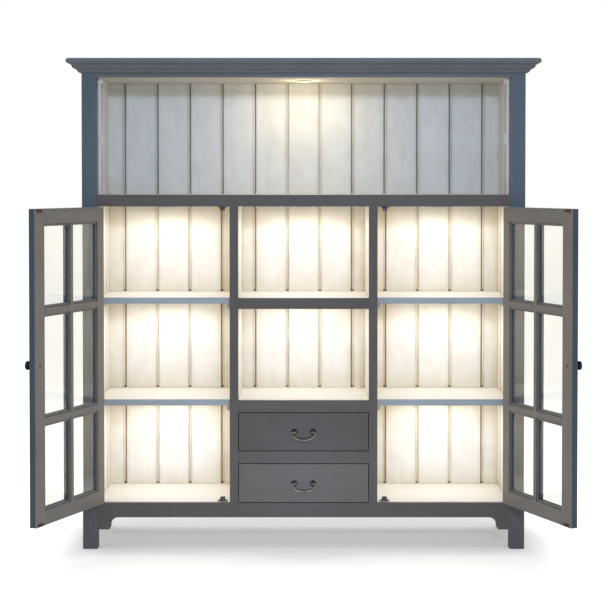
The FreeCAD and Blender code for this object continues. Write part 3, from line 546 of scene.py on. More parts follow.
def cream_paint(name, base, upright=False):
    """The same cream on flat boards: brushed along their length, with a trace of glaze in the brush marks,
    glaze with painted shade in the corners, and a wider yellowish painted shade round them."""
    paint = settings("paint")
    material, shader, place = started(name)
    strokes = place.noise(stroke_scale(upright), detail=5)
    pale = place.noise(160 * MM, detail=2).ramp((0.35, 0), (0.7, 0.4)).mix(base, shaded(base, -0.06))
    # Glaze with painted shade in the corners, and a wider yellowish painted shade round them
    corners, wide_corner_shade = corner_glaze_and_shade(place)
    glaze = strokes.ramp((0.52, 0), (0.85, 0.10)) | corners
    coat = glaze.mix((wide_corner_shade * 0.35).mix(pale, paint.wide_corner_shade), paint.glaze)
    brushed(shader, coat, strokes)
    return material


def drawer_birch(name):
    """Clear-lacquered birch: pale even wood with long fine grain and a few darker streaks, and a satin
    sheen."""
    material, shader, place = started(name)
    grain = place.noise((220 * MM, 220 * MM, 2.5 * MM), detail=6, rough=0.65)
    figure = place.noise((300 * MM, 300 * MM, 22 * MM))
    wood = grain.ramp((0.3, 0), (0.7, 1)).mix(linear("d7b98a"), linear("c39d69"))
    wood = figure.ramp((0.55, 0), (0.75, 0.5)).mix(wood, linear("a97f4e"))
    surfaced(shader, wood, grain.ramp((0.3, 0.34), (0.7, 0.46)), grain, 0.1 * MM, 0.3)
    return material


def pane_glass(name):
    """Clear float glass: nearly colourless, with sharp reflections that grow towards grazing angles."""
    material, shader, place = started(name)
    smudge = place.noise(60 * MM, detail=4)
    feed(shader, {"Base Color": linear("f8f7f0"), "Transmission Weight": 1, "IOR": 1.5,
                  "Roughness": smudge.ramp((0.4, 0), (0.9, 0.035))})
    clear = place.node("ShaderNodeBsdfTransparent", {0: linear("f4f7f5")})
    shadow = place.node("ShaderNodeLightPath", output="Is Shadow Ray")
    covered(shader, place.node("ShaderNodeMixShader", {0: shadow, 1: shader.outputs[0], 2: clear}))
    return material


def worn_metal(name, bright, dark, roughness, grain, hollow=False, front=None):
    """Cast and oiled metal: a dark skin that has worn through to brighter metal in soft patches and on the
    arrises, and that stays thick in the hollows if the piece has any. Front is the Y of the foremost point
    and how far behind it the skin is whole: a painted highlight keeps the front bright and painted shade
    darkens the metal behind it."""
    metal = settings("metal")
    material, shader, place = started(name)
    patches = place.noise(grain, detail=5, rough=0.6)
    skin = patches.ramp((0.36, 0), (0.64, 1))
    if hollow:
        skin = skin | open_share(place, metal.hollow, 6).ramp((0.35, 1), (0.8, 0))
    # Painted highlight on the front and painted shade behind it
    if front:
        foremost, reach = front
        skin = skin * 0.5 | ((place[1] - foremost) / reach).ramp((0.35, 0), (1, 1))
    worn = worn_and_highlit_arrises(place, metal.worn_edge).mix(skin.mix(bright, dark), shaded(bright, 0.35))
    sheen = patches.ramp((0.3, roughness + 0.12), (0.7, roughness - 0.08))
    surfaced(shader, worn, sheen, patches, 0.15 * MM, 0.35, {"Metallic": 1})
    return material


def oiled(name, bright, darker, roughness, grain, **looks):
    """Worn metal whose skin is a darker shade of the metal."""
    return worn_metal(name, bright, shaded(bright, darker), roughness, grain, **looks)


def white_coating(name):
    """White powder-coated aluminium: a smooth pale skin with the fine orange-peel that powder leaves."""
    material, shader, place = started(name)
    peel = place.noise(1.6 * MM, detail=2)
    coat = toned(peel, settings("metal").coating, -0.03, 0)
    surfaced(shader, coat, peel.ramp((0.3, 0.30), (0.7, 0.38)), peel, 0.05 * MM, 0.4)
    return material


def opal_lens(name):
    """Frosted acrylic lens, lit from behind: a warm even glow, a little stronger in its moulded ripples."""
    lamp = settings("light")
    material, shader, place = started(name)
    ripple = place.noise(3 * MM, detail=2)
    surfaced(shader, ripple.mix(linear("8f8674"), linear("9d9482")), 0.4, ripple, 0.2 * MM, 0.3,
             {"Emission Color": toned(ripple, lamp.warm, -0.06, 0), "Emission Strength": lamp.glow})
    return material


# Pieces


def node_object(name):
    if name not in frame["nodes"]:
        raise RuntimeError("the frame has no node named " + name)
    return frame["nodes"][name]


def finished(material, *names):
    """Gives solids of the frame their material."""
    for name in names:
        for material_slot in node_object(name).material_slots:
            material_slot.material = material


def placed(name, mesh, body, slot, *materials):
    """A new piece that rides on a body."""
    piece = bpy.data.objects.new(name, mesh)
    bpy.context.scene.collection.objects.link(piece)
    for material in materials:
        mesh.materials.append(material)
    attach(piece, body)
    return piece


def modelled(template, name):
    """The plain mesh of an object with its modifiers applied, after which the object is removed."""
    bpy.context.view_layer.update()
    evaluated = template.evaluated_get(bpy.context.evaluated_depsgraph_get())
    mesh = bpy.data.meshes.new_from_object(evaluated)
    mesh.name = name
    template.modifiers.clear()
    bpy.data.objects.remove(template)
    return mesh


def mesh_from(name, *builds):
    """A mesh of what each function builds in a bmesh, faces turned outwards and smooth between arrises."""
    shape = bmesh.new()
    for build in builds:
        build(shape)
    bmesh.ops.remove_doubles(shape, verts=shape.verts, dist=1e-7)
    bmesh.ops.recalc_face_normals(shape, faces=shape.faces)
    mesh = bpy.data.meshes.new(name)
    shape.to_mesh(mesh)
    shape.free()
    mesh.shade_smooth()
    mesh.set_sharp_from_angle(angle=ARRIS)
    return mesh


def standing(place, facing):
    """The turn and move that put something built upright at a place and facing a direction."""
    return Matrix.Translation(place) @ Vector(facing).to_track_quat("Z", "Y").to_matrix().to_4x4()


def joined_rings(shape, rings):
    """Closes a body over rings of corners. A ring of one corner is a tip."""
    steps = max(len(ring) for ring in rings)
    for low, high in zip(rings, rings[1:]):
        for i in range(steps):
            j = (i + 1) % steps
            corners = [low[i % len(low)], low[j % len(low)], high[j % len(high)], high[i % len(high)]]
            corners = [corner for k, corner in enumerate(corners) if corner not in corners[:k]]
            if len(corners) > 2:
                shape.faces.new(corners)


def turned(outline, steps, place, facing):
    """Turns an outline, given as radius and height in mm, into a closed body that stands at a place."""
    stand = standing(place, facing)

    def build(shape):
        rings = []
        for radius, height in outline:
            corners = 1 if radius == 0 else steps
            rings.append([shape.verts.new(stand @ Vector((
                radius * MM * math.cos(i * math.tau / steps), radius * MM * math.sin(i * math.tau / steps),
                height * MM))) for i in range(corners)])
        joined_rings(shape, rings)
    return build


def rounded(centre_height, radius, start, end, steps):
    """Points of an outline along an arc about a centre on the axis, with angles from the top in degrees."""
    turns = [math.radians(start + (end - start) * i / steps) for i in range(steps + 1)]
    return [(max(0.0, radius * math.sin(turn)) if turn else 0, centre_height + radius * math.cos(turn))
            for turn in turns]


def swept(path, radii, steps):
    """A round bar along a path in an upright plane that faces the front, with its own radius at each
    point."""
    turns, behind = [k * math.tau / steps for k in range(steps)], Vector((0, 1, 0))

    def build(shape):
        rings = [[shape.verts.new(path[0])]]
        for i, (point, radius) in enumerate(zip(path, radii)):
            along = (path[min(i + 1, len(path) - 1)] - path[max(i - 1, 0)]).normalized()
            side = Vector((-along.z, 0, along.x))
            rings.append([shape.verts.new(point + radius * (math.cos(turn) * side + math.sin(turn) * behind))
                          for turn in turns])
        rings.append([shape.verts.new(path[-1])])
        joined_rings(shape, rings)
    return build


def slotted_head(name, radius, height):
    """A low domed screw head with a straight slot, which stands on the surface that it holds."""
    slot = radius * settings("fittings").slot_share
    outline = [(out * radius / MM, up * height / MM) for out, up in HEAD]
    head = bpy.data.objects.new(name, mesh_from(name, turned(outline, 20, (0, 0, 0), (0, 0, 1))))
    cutter = bpy.data.objects.new("slot", mesh_from("slot", lambda shape: bmesh.ops.create_cube(
        shape, size=1, matrix=Matrix.Translation((0, 0, height)) @ Matrix.Diagonal(
            (3 * radius, slot, height * 1.7, 1)))))
    for made in (head, cutter):
        bpy.context.scene.collection.objects.link(made)
    cut = head.modifiers.new("slot", "BOOLEAN")
    cut.object, cut.operation, cut.solver = cutter, "DIFFERENCE", "EXACT"
    mesh = modelled(head, name)
    bpy.data.objects.remove(cutter)
    return mesh


def fixing_tree():
    """Geometry nodes that put one copy of a fixing on each point, facing as the point says."""
    tree = bpy.data.node_groups.new("Fixings on points", "GeometryNodeTree")
    for name, kind in (("Points", "NodeSocketGeometry"), ("Fixing", "NodeSocketObject"),
                       ("Size", "NodeSocketFloat"), ("Seed", "NodeSocketInt"),
                       ("Finish", "NodeSocketMaterial")):
        tree.interface.new_socket(name, in_out="INPUT", socket_type=kind)
    tree.interface.new_socket("Fixings", in_out="OUTPUT", socket_type="NodeSocketGeometry")
    inside = add(tree, "NodeGroupInput").outputs
    facing = add(tree, "GeometryNodeInputNamedAttribute", {"Name": "facing"}, data_type="FLOAT_VECTOR")
    aligned = add(tree, "FunctionNodeAlignRotationToVector", {"Vector": facing.outputs[0]}, axis="Z")
    turn = add(tree, "FunctionNodeRandomValue", {3: math.pi, "Seed": inside["Seed"]}, data_type="FLOAT")
    spin = add(tree, "FunctionNodeAxisAngleToRotation", {"Axis": (0, 0, 1), "Angle": turn.outputs[1]})
    rotation = add(tree, "FunctionNodeRotateRotation",
                   {0: aligned.outputs[0], 1: spin.outputs[0]}, rotation_space="LOCAL")
    fixing = add(tree, "GeometryNodeObjectInfo", {"Object": inside["Fixing"]})
    copies = add(tree, "GeometryNodeInstanceOnPoints",
                 {"Points": inside["Points"], "Instance": fixing.outputs["Geometry"],
                  "Rotation": rotation.outputs[0], "Scale": inside["Size"]})
    real = add(tree, "GeometryNodeRealizeInstances", {0: copies.outputs[0]})
    coated = add(tree, "GeometryNodeSetMaterial", {"Geometry": real.outputs[0], "Material": inside["Finish"]})
    add(tree, "NodeGroupOutput", {0: coated.outputs[0]})
    return tree


def scattered(name, fixing, places, body, slot, material, seed):
    """A piece with a copy of a fixing at each place. A place is a point and the direction that it faces."""
    tree = bpy.data.node_groups.get("Fixings on points") or fixing_tree()
    points = bpy.data.meshes.new(name)
    points.from_pydata([point for point, _ in places], [], [])
    facing = points.attributes.new("facing", "FLOAT_VECTOR", "POINT")
    facing.data.foreach_set("vector", [value for _, direction in places for value in direction])
    template = bpy.data.objects.new(name + " fixing", fixing)
    carrier = bpy.data.objects.new(name + " points", points)
    for made in (template, carrier):
        bpy.context.scene.collection.objects.link(made)
    modifier = carrier.modifiers.new("fixings", "NODES")
    modifier.node_group = tree
    values = {"Fixing": template, "Size": 1.0, "Seed": seed, "Finish": material}
    for item in tree.interface.items_tree:
        if item.name in values:
            modifier[item.identifier] = values[item.name]
    mesh = modelled(carrier, name)
    bpy.data.objects.remove(template)
    if not mesh.polygons:
        raise RuntimeError(name + " has no faces")
    mesh.materials.clear()
    return placed(name, mesh, body, slot, material)


def door_side(body):
    return -1 if body.startswith("left") else 1


def joint_of(body):
    return next(joint for joint in frame["joints"] if joint["child"] == body)


def hinge_turn(body):
    """The turn from the closed door to the open one in which the door stands, for the door of a body."""
    joint = joint_of(body)
    anchor = Vector(joint["pos_m"])
    angle = math.radians(-joint["range_deg"][0]) * door_side(body)
    return Matrix.Translation(anchor) @ Matrix.Rotation(angle, 4, "Z") @ Matrix.Translation(-anchor)


def on_door(body, places):
    """Places on the closed right-hand door, as they are on the open door of a body."""
    side, turn = door_side(body), hinge_turn(body)
    mirrored = [(Vector((side * x, y, z)), Vector((side * u, v, w))) for (x, y, z), (u, v, w) in places]
    return [(turn @ point, turn.to_3x3() @ facing) for point, facing in mirrored]


def front_face():
    """Y of the front of the face frame, of the drawers and of the closed doors."""
    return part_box("middle_rail")[0].y


def lit(context, name, kind, place, watts, tint, **looks):
    """A lamp that isn't seen itself."""
    light = bpy.data.lights.new(name, kind)
    for key, value in {"energy": watts, "color": tint, **looks}.items():
        setattr(light, key, value)
    made = bpy.data.objects.new(light.name, light)
    made.location = place
    made.visible_camera = made.visible_glossy = made.visible_transmission = False
    context.scene.collection.objects.link(made)
    return made


class CUPBOARD_OT_case(Operator):
    """Paints the case: posts, rails, cornice, sides and the light slate edges of the shelves"""
    bl_idname = "cupboard.case"
    bl_label = "Painted case"

    def execute(self, context):
        paint = settings("paint")
        outer, inner = paint.outer_slate, paint.inner_slate
        # Painted light: each part takes the slate copy tinted for its light, and the posts, sides and side
        # rails turn browner towards the floor
        for name, base, upright, looks, nodes in (
                ("posts", outer, True, {"browned": True, "lined": True},
                 ("front_right_post", "front_left_post", "back_posts")),
                ("side panels", outer, True, {"browned": True}, ("side_panels",)),
                ("side rails", outer, False, {"browned": True}, ("side_rails",)),
                # The cornice's hollows take dark glaze with painted shade, and its paler arrises a painted
                # highlight
                ("cornice", paint.lit_crown_slate, False, {"rubbed": 0.8, "hollows": 0.9},
                 ("top_rail", "cornice_moulding", "cornice_cap")),
                ("inner uprights", inner, True, {}, ("centre_stiles",)),
                ("inner rails", inner, False, {}, ("middle_rail", "bay_rails")),
                # Painted shade: the base is a darker copy of the inner slate
                ("base", shaded(inner, -0.02), False, {}, ("base_rail", "base_brackets"))):
            finished(slate_paint("Slate milk paint, " + name, base, upright, **looks), *nodes)
        finished(slate_paint("Pale slate milk paint, shelf edges", paint.shelf_slate, False),
                 "shelf_lippings", "shelf_cleats")
        return {"FINISHED"}


class CUPBOARD_OT_boards(Operator):
    """Paints and glazes the boards of the back and sides, the shelves, decks and ceilings"""
    bl_idname = "cupboard.boards"
    bl_label = "Glazed boards"

    def execute(self, context):
        paint = settings("paint")
        finished(glazed_boards("Cream paint with brown glaze, back boards", 0, 0), "back_planks")
        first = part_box("side_linings")[0].y + paint.plank_width / 2
        finished(glazed_boards("Cream paint with brown glaze, side boards", 1, first), "side_linings")
        finished(cream_paint("Cream paint, flat boards", paint.cream), "adjustable_shelves", "centre_decks",
                 "middle_deck", "carcass_bottom", "bay_ceilings")
        finished(cream_paint("Cream paint, upright boards", paint.cream, True), "partitions", "shelf_ladders")
        # Painted shade: the top bay's ceiling takes the darker cream
        finished(cream_paint("Glazed cream paint, top bay ceiling", paint.shaded_ceiling_cream), "carcass_top")
        return {"FINISHED"}


class CUPBOARD_OT_doors(Operator):
    """Paints the two doors and glazes their panes"""
    bl_idname = "cupboard.doors"
    bl_label = "Glazed doors"

    def execute(self, context):
        paint = settings("paint")
        glass = pane_glass("Clear float glass")
        # The inner faces take the glazed slate, brown glaze with a painted reflection of the lit bays
        inner_face = front_face() + paint.door_thickness - paint.bead_sink - paint.bead_slack
        for body in DOORS:
            inside, = on_door(body, [((0, inner_face, 1), (0, 1, 0))])
            # The hollows share sets dark glaze with painted shade at the hinge edges and round the bars and
            # beads
            for part, upright, hollows, nodes in (
                    ("stiles", True, 0.8, ("hinge_stile", "lock_stile")),
                    ("rails", False, 0.7, ("rails", "glazing_bars", "glazing_beads"))):
                name = "Slate milk paint, %s of the %s" % (part, body.replace("_", " "))
                finished(slate_paint(name, paint.door_slate, upright, inside=inside, hollows=hollows),
                         *(body + "_" + node for node in nodes))
            finished(glass, body + "_panes")
        return {"FINISHED"}


class CUPBOARD_OT_drawers(Operator):
    """Paints the drawer fronts and finishes the wooden drawer boxes and their runners"""
    bl_idname = "cupboard.drawers"
    bl_label = "Drawers"

    # Marks in the fronts' paint: X of the middle, share of the front's height below its top, and half the
    # length and half the height
    DENT = (0.046, 0.11, 5 * MM, 5 * MM)
    SCRATCH = (-0.125, 0.23, 65 * MM, 5 * MM)

    def execute(self, context):
        slate = settings("paint").inner_slate
        birch = drawer_birch("Lacquered birch, drawer boxes")
        # Painted light: the lower front is a lighter copy of the slate, for the light from the floor in front,
        # and the upper front a darker one
        for drawer, painted_light, (x, share_down, *halves) in zip(DRAWERS, (0.3, -0.07), (self.DENT, self.SCRATCH)):
            low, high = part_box(drawer + "_front")
            middle = Vector((x, low.y, high.z - share_down * (high.z - low.z)))
            name = "Slate milk paint, %s front" % drawer.replace("_", " ")
            coat = slate_paint(name, shaded(slate, painted_light), False, marks=[(middle, *halves)])
            finished(coat, drawer + "_front")
            finished(birch, drawer + "_walls", drawer + "_bottom")
        finished(birch, "drawer_runners")
        return {"FINISHED"}


class CUPBOARD_OT_pulls(Operator):
    """Models each drawer's bail pull: two turned posts with their nuts, and the hanging bail"""
    bl_idname = "cupboard.pulls"
    bl_label = "Drawer pulls"

    # Half the section of a post in mm: its radius, and its height above the drawer's front. The shank runs
    # through the front, and the rosette has a rounded rim, a sunk ring and a raised boss.
    SHANK = ((0, -23.5), (2, -23.5), (2, 0))
    ROSETTE = ((12.4, 0), (12.5, 0.7), (12.1, 1.5), (11.2, 1.9), (10.4, 1.6), (9.9, 1.1), (8.6, 1.1),
               (8.1, 1.7), (7.4, 2.4), (6.2, 2.8), (5.0, 3.0))
    NECK = ((4.3, 3.4), (3.5, 4.6), (3.2, 6.2), (3.4, 7.4), (4.1, 7.9), (4.1, 8.7), (3.6, 9.0))
    # Where the small rings beside the bail's bead lie, from the middle, half their width and how high they
    # stand, in mm
    RINGS = ((8.0, 1.35, 4.6), (11.6, 0.7, 3.9))
    # Control points of half the bail's middle line: across as a share of its reach, and up as one of its drop
    SWEEP, SWEEP_STEPS = ((0, -1), (0.48, -1), (0.96, -0.74), (1, -0.22)), 120
    # Control points of its bend to the eye, from the reach, both as shares of the drop
    BEND, BEND_STEPS = ((0, -0.22), (0, -0.06), (-0.02, 0), (-0.2, 0)), 24
    # Share of half the bail along which its grip tapers, and how the taper curves
    TAPER, TAPER_CURVE = 0.7, 1.5
    # How far the arrises of the eyes and nuts are cut back, and thickness and overhang of the washers, in mm
    EYE_ARRIS, NUT_ARRIS, WASHER, RIM = 0.5, 0.4, 0.6, 1
    # Sides of the parts of a post, and of the bail's rod
    POST_SIDES, EYE_SIDES, WASHER_SIDES, NUT_SIDES, ROD_SIDES = 40, 24, 28, 6, 20

    def execute(self, context):
        metal, fitting = settings("metal"), settings("fittings")
        for drawer in DRAWERS:
            axis = Vector(joint_of(drawer + "_bail")["pos_m"])
            for build, radius, part in ((self.posts, fitting.ball_radius, "posts"),
                                        (self.bail, fitting.grip_radius, "bail")):
                name = "Aged brass, %s of the %s" % (part, drawer.replace("_", " "))
                # The pulls are brighter at the front and darker behind: a painted highlight and painted shade
                build(drawer, axis, worn_metal(name, metal.brass, metal.patina, 0.30, 12 * MM, hollow=True,
                                               front=(axis.y - radius, radius)))
        return {"FINISHED"}

    def posts(self, drawer, axis, brass):
        fitting = settings("fittings")
        (front, rear), (low, high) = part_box(drawer + "_front"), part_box(drawer + "_pull_posts")
        span, thick = high.x - (high.z - low.z) / 2, (high.y - rear.y) / MM
        ball, nut = fitting.ball_radius / MM, fitting.nut_radius / MM
        start = math.degrees(math.asin(self.NECK[-1][0] / ball))
        outline = [*self.SHANK, *self.ROSETTE, *self.NECK,
                   *rounded((front.y - axis.y) / MM, ball, 180 - start, 0, 12)]
        boss, reach = fitting.boss_radius / MM, fitting.boss_reach / MM
        end, inner, under = boss - self.EYE_ARRIS, reach - self.EYE_ARRIS, self.WASHER
        eye = [(0, -reach), (end, -reach), (boss, -inner), (boss, inner), (end, reach), (0, reach)]
        washer = [(0, 0), (nut + self.RIM, 0), (nut + self.RIM, under), (0, under)]
        flat, cut = nut - self.NUT_ARRIS, self.NUT_ARRIS
        hexagon = [(0, under), (flat, under), (nut, under + cut), (nut, thick - cut), (flat, thick),
                   (0, thick)]
        builds = []
        for x in (-span, span):
            back = Vector((x, rear.y, axis.z))
            builds += [turned(outline, self.POST_SIDES, Vector((x, front.y, axis.z)), (0, -1, 0)),
                       turned(eye, self.EYE_SIDES, Vector((x, axis.y, axis.z)), (1, 0, 0)),
                       turned(washer, self.WASHER_SIDES, back, (0, 1, 0)),
                       turned(hexagon, self.NUT_SIDES, back, (0, 1, 0))]
        piece = placed(drawer + "_posts", mesh_from(drawer + " posts", *builds), drawer, "aged_brass", brass)
        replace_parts(piece, drawer + "_pull_posts")

    def bail(self, drawer, axis, brass):
        fitting = settings("fittings")
        body = drawer + "_bail"
        low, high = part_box(body)
        half = self.middle_line(high.x - fitting.bail_radius, axis.z - low.z - fitting.bead_radius,
                                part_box(drawer + "_pull_posts")[1].x - fitting.eye_depth)
        radii = [self.bar_radius(distance, half[-1][0]) for distance, _ in half]
        points = [axis + Vector((x, 0, z)) for _, (x, z) in half]
        mirrored = [Vector((-point.x, point.y, point.z)) for point in points[:0:-1]]
        bar = swept(mirrored + points, radii[:0:-1] + radii, self.ROD_SIDES)
        piece = placed(body + "_handle", mesh_from(body, bar), body, "aged_brass", brass)
        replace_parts(piece, body)

    def middle_line(self, reach, drop, eye):
        """Half of the bail's middle line as distances from its middle and places across and up."""
        sweep = interpolate_bezier(*((x * reach, z * drop, 0) for x, z in self.SWEEP), self.SWEEP_STEPS)
        bend = interpolate_bezier(*((reach + x * drop, z * drop, 0) for x, z in self.BEND), self.BEND_STEPS)
        ends = [*sweep, *bend[1:], Vector((eye, 0, 0))]
        run, walked = [(0.0, (ends[0].x, ends[0].y))], 0.0
        for start, end in zip(ends, ends[1:]):
            walked += (end - start).length
            run.append((walked, (end.x, end.y)))
        return run

    def bar_radius(self, distance, whole):
        """The bail's radius: a bead in the middle, rings beside it, and a grip that tapers to the eyes."""
        fitting = settings("fittings")
        taper = min(1, distance / (self.TAPER * whole)) ** self.TAPER_CURVE
        radius = fitting.grip_radius + (fitting.rod_radius - fitting.grip_radius) * taper
        if distance < fitting.bead_radius:
            radius = max(radius, math.sqrt(fitting.bead_radius ** 2 - distance ** 2))
        for middle, half_width, height in self.RINGS:
            share_out = abs(distance / MM - middle) / half_width
            if share_out < 1:
                radius = max(radius, radius + (height * MM - radius) * math.sqrt(1 - share_out ** 2))
        return radius


class CUPBOARD_OT_knobs(Operator):
    """Models the turned door knobs, each with the screw that holds it"""
    bl_idname = "cupboard.knobs"
    bl_label = "Knobs"

    # Half the sections of a knob and of its screw's head in mm: the radius, and the height above the door
    KNOB = ((0, 0), (9.4, 0), (9.5, 0.9), (9.1, 1.9), (8.2, 2.3), (8.0, 2.9), (6.9, 3.3), (6.1, 4.4),
            (5.6, 6.4), (5.6, 9.2), (6.1, 11.4), (7.2, 13.2), (9.4, 15.4), (12.6, 17.6), (15.8, 19.6),
            (17.4, 21.4), (18.0, 23.4), (17.9, 25.2), (17.2, 26.8), (16.1, 28.0), (15.4, 28.3), (15.0, 28.1),
            (14.5, 28.4), (12.8, 29.7), (10.2, 31.1), (7.0, 32.2), (3.6, 32.8), (0, 33))
    SCREW = ((0, -0.5), (4.5, -0.5), (4.5, 0.6), (4.2, 1.3), (3.2, 1.9), (1.6, 2.2), (0, 2.2))
    KNOB_SIDES, SCREW_SIDES = 48, 28

    def execute(self, context):
        metal, fitting = settings("metal"), settings("fittings")
        bronze = oiled("Oiled dark bronze, knobs", metal.bronze, -0.5, 0.36, 9 * MM, hollow=True)
        copper = oiled("Coppered steel, knob screws", metal.copper, -0.5, 0.36, 3 * MM)
        low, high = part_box("right_door_knob")
        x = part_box("centre_stiles")[1].x + fitting.door_gap + fitting.knob_inset
        back = front_face() + settings("paint").door_thickness
        for body in DOORS:
            (front, outward), (inner, inward) = on_door(body, [
                ((x, y, (low.z + high.z) / 2), (0, way, 0)) for y, way in ((front_face(), -1), (back, 1))])
            knob = mesh_from(body + " knob", turned(self.KNOB, self.KNOB_SIDES, front, outward))
            screw = mesh_from(body + " knob screw", turned(self.SCREW, self.SCREW_SIDES, inner, inward))
            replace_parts(placed(body + "_turned_knob", knob, body, "dark_bronze", bronze), body + "_knob")
            placed(body + "_knob_screw", screw, body, "dark_bronze", copper)
        return {"FINISHED"}


class CUPBOARD_OT_metalwork(Operator):
    """Finishes the catches, strikes and hinges, and screws them down"""
    bl_idname = "cupboard.metalwork"
    bl_label = "Metalwork"

    # How far behind the front face a leaf's lower, middle and upper screws are, as a share of the leaf
    SCREWS_BACK = (0.66, 0.38, 0.66)

    def execute(self, context):
        metal, fitting = settings("metal"), settings("fittings")
        bronze = oiled("Oiled dark bronze", metal.bronze, -0.5, 0.38, 9 * MM)
        steel = oiled("Blackened hinge steel", metal.steel, -0.45, 0.42, 7 * MM)
        finished(bronze, "catch_housings", *(door + "_strikes" for door in DOORS))
        finished(steel, "hinge_frame_leaves", "hinge_pins", *(door + "_hinge_leaves" for door in DOORS))
        flat = slotted_head("countersunk head", fitting.leaf_screw, fitting.flush)
        small = slotted_head("small countersunk head", fitting.plate_screw, fitting.flush)
        dome = slotted_head("round head", fitting.plate_screw, fitting.proud)
        frame_x, door_x, places = self.leaf_places()
        on_post = [(Vector((side * frame_x, y, z)), Vector((-side, 0, 0)))
                   for side in (-1, 1) for y, z in places]
        scattered("hinge_frame_screws", flat, on_post, "cabinet", "hinge_steel", steel, fitting.seed)
        for seed, body in enumerate(DOORS, fitting.seed):
            on_leaf = on_door(body, [((door_x, y, z), (1, 0, 0)) for y, z in places])
            on_strike = self.strike_places(body)
            scattered(body + "_hinge_screws", flat, on_leaf, body, "hinge_steel", steel, seed)
            scattered(body + "_strike_screws", small, on_strike, body, "dark_bronze", bronze, seed)
        scattered("catch_screws", dome, self.catch_places(), "cabinet", "dark_bronze", bronze, fitting.seed)
        return {"FINISHED"}

    def leaf_places(self):
        """X of the faces of the two leaves, and Y and Z of the screws in them when the door is closed."""
        fitting = settings("fittings")
        low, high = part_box("hinge_frame_leaves")
        post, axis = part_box("front_right_post")[0].x, joint_of("right_door")["pos_m"][0]
        thickness = post - axis - fitting.leaf_gap
        tall, inset, front = fitting.leaf_height, fitting.leaf_inset, front_face()
        places = [(front + back * (high.y - front), bottom + rise)
                  for bottom in (low.z, (low.z + high.z - tall) / 2, high.z - tall)
                  for rise, back in zip((inset, tall / 2, tall - inset), self.SCREWS_BACK)]
        return post - thickness, 2 * axis - post + thickness, places

    def catch_middle(self):
        """X of the middle of the right-hand catches, and the box of all four."""
        low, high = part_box("catch_housings")
        return high.x - settings("fittings").catch_length / 2, low, high

    def strike_places(self, body):
        """Two screws in each strike of a door."""
        fitting = settings("fittings")
        middle, low, _ = self.catch_middle()
        bottom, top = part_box(body + "_strikes")
        return on_door(body, [((middle + away, low.y - fitting.strike_gap, z), (0, 1, 0))
                              for z in (bottom.z + fitting.strike_inset, top.z - fitting.strike_inset)
                              for away in (-fitting.strike_screws, fitting.strike_screws)])

    def catch_places(self):
        """Two screws in each catch's plate, one each side of its block."""
        fitting = settings("fittings")
        middle, low, high = self.catch_middle()
        return [(Vector((side * (middle + away), (low.y + high.y) / 2, z)), Vector((0, 0, up)))
                for side in (-1, 1) for away in (-fitting.catch_screws, fitting.catch_screws)
                for z, up in ((low.z + fitting.catch_plate, 1), (high.z - fitting.catch_plate, -1))]


class CUPBOARD_OT_lights(Operator):
    """Finishes the puck lights and lights the bays"""
    bl_idname = "cupboard.lights"
    bl_label = "Puck lights"

    def execute(self, context):
        lamp = settings("light")
        finished(white_coating("White powder-coated aluminium"), "puck_bezels")
        finished(opal_lens("Frosted acrylic lens"), "puck_lenses")
        low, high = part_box("puck_lenses")
        depth = (low.y + high.y) / 2
        top = (0, depth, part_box("carcass_top")[0].z - lamp.top_drop)
        lit(context, "bay light", "POINT", top, lamp.top_power, lamp.top_warm, shadow_soft_size=lamp.bulb)
        self.glow(context, top, lamp.top_glow, lamp.top_warm, lamp.top_panel)
        ceiling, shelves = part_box("bay_ceilings")[0].z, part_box("adjustable_shelves")
        places = [(0, ceiling, lamp.centre_power), (0, shelves[1].z - DECK, lamp.centre_power)]
        places += [(x, height, lamp.side_power) for x in (-lamp_side(), lamp_side())
                   for height in (ceiling, shelves[0].z, shelves[1].z - SHELF)]
        for x, height, watts in places:
            place = (x, depth, height - lamp.drop)
            lit(context, "bay light", "SPOT", place, watts, lamp.warm, shadow_soft_size=lamp.bulb,
                spot_size=lamp.spread, spot_blend=lamp.soft_rim)
            self.glow(context, place, lamp.bay_glow, lamp.warm, lamp.bay_panel)
        return {"FINISHED"}

    def glow(self, context, place, watts, tint, width):
        """The soft light that a bay throws back on itself."""
        lit(context, "bay light", "AREA", place, watts, tint, shape="RECTANGLE", size=width,
            size_y=settings("light").panel_depth)


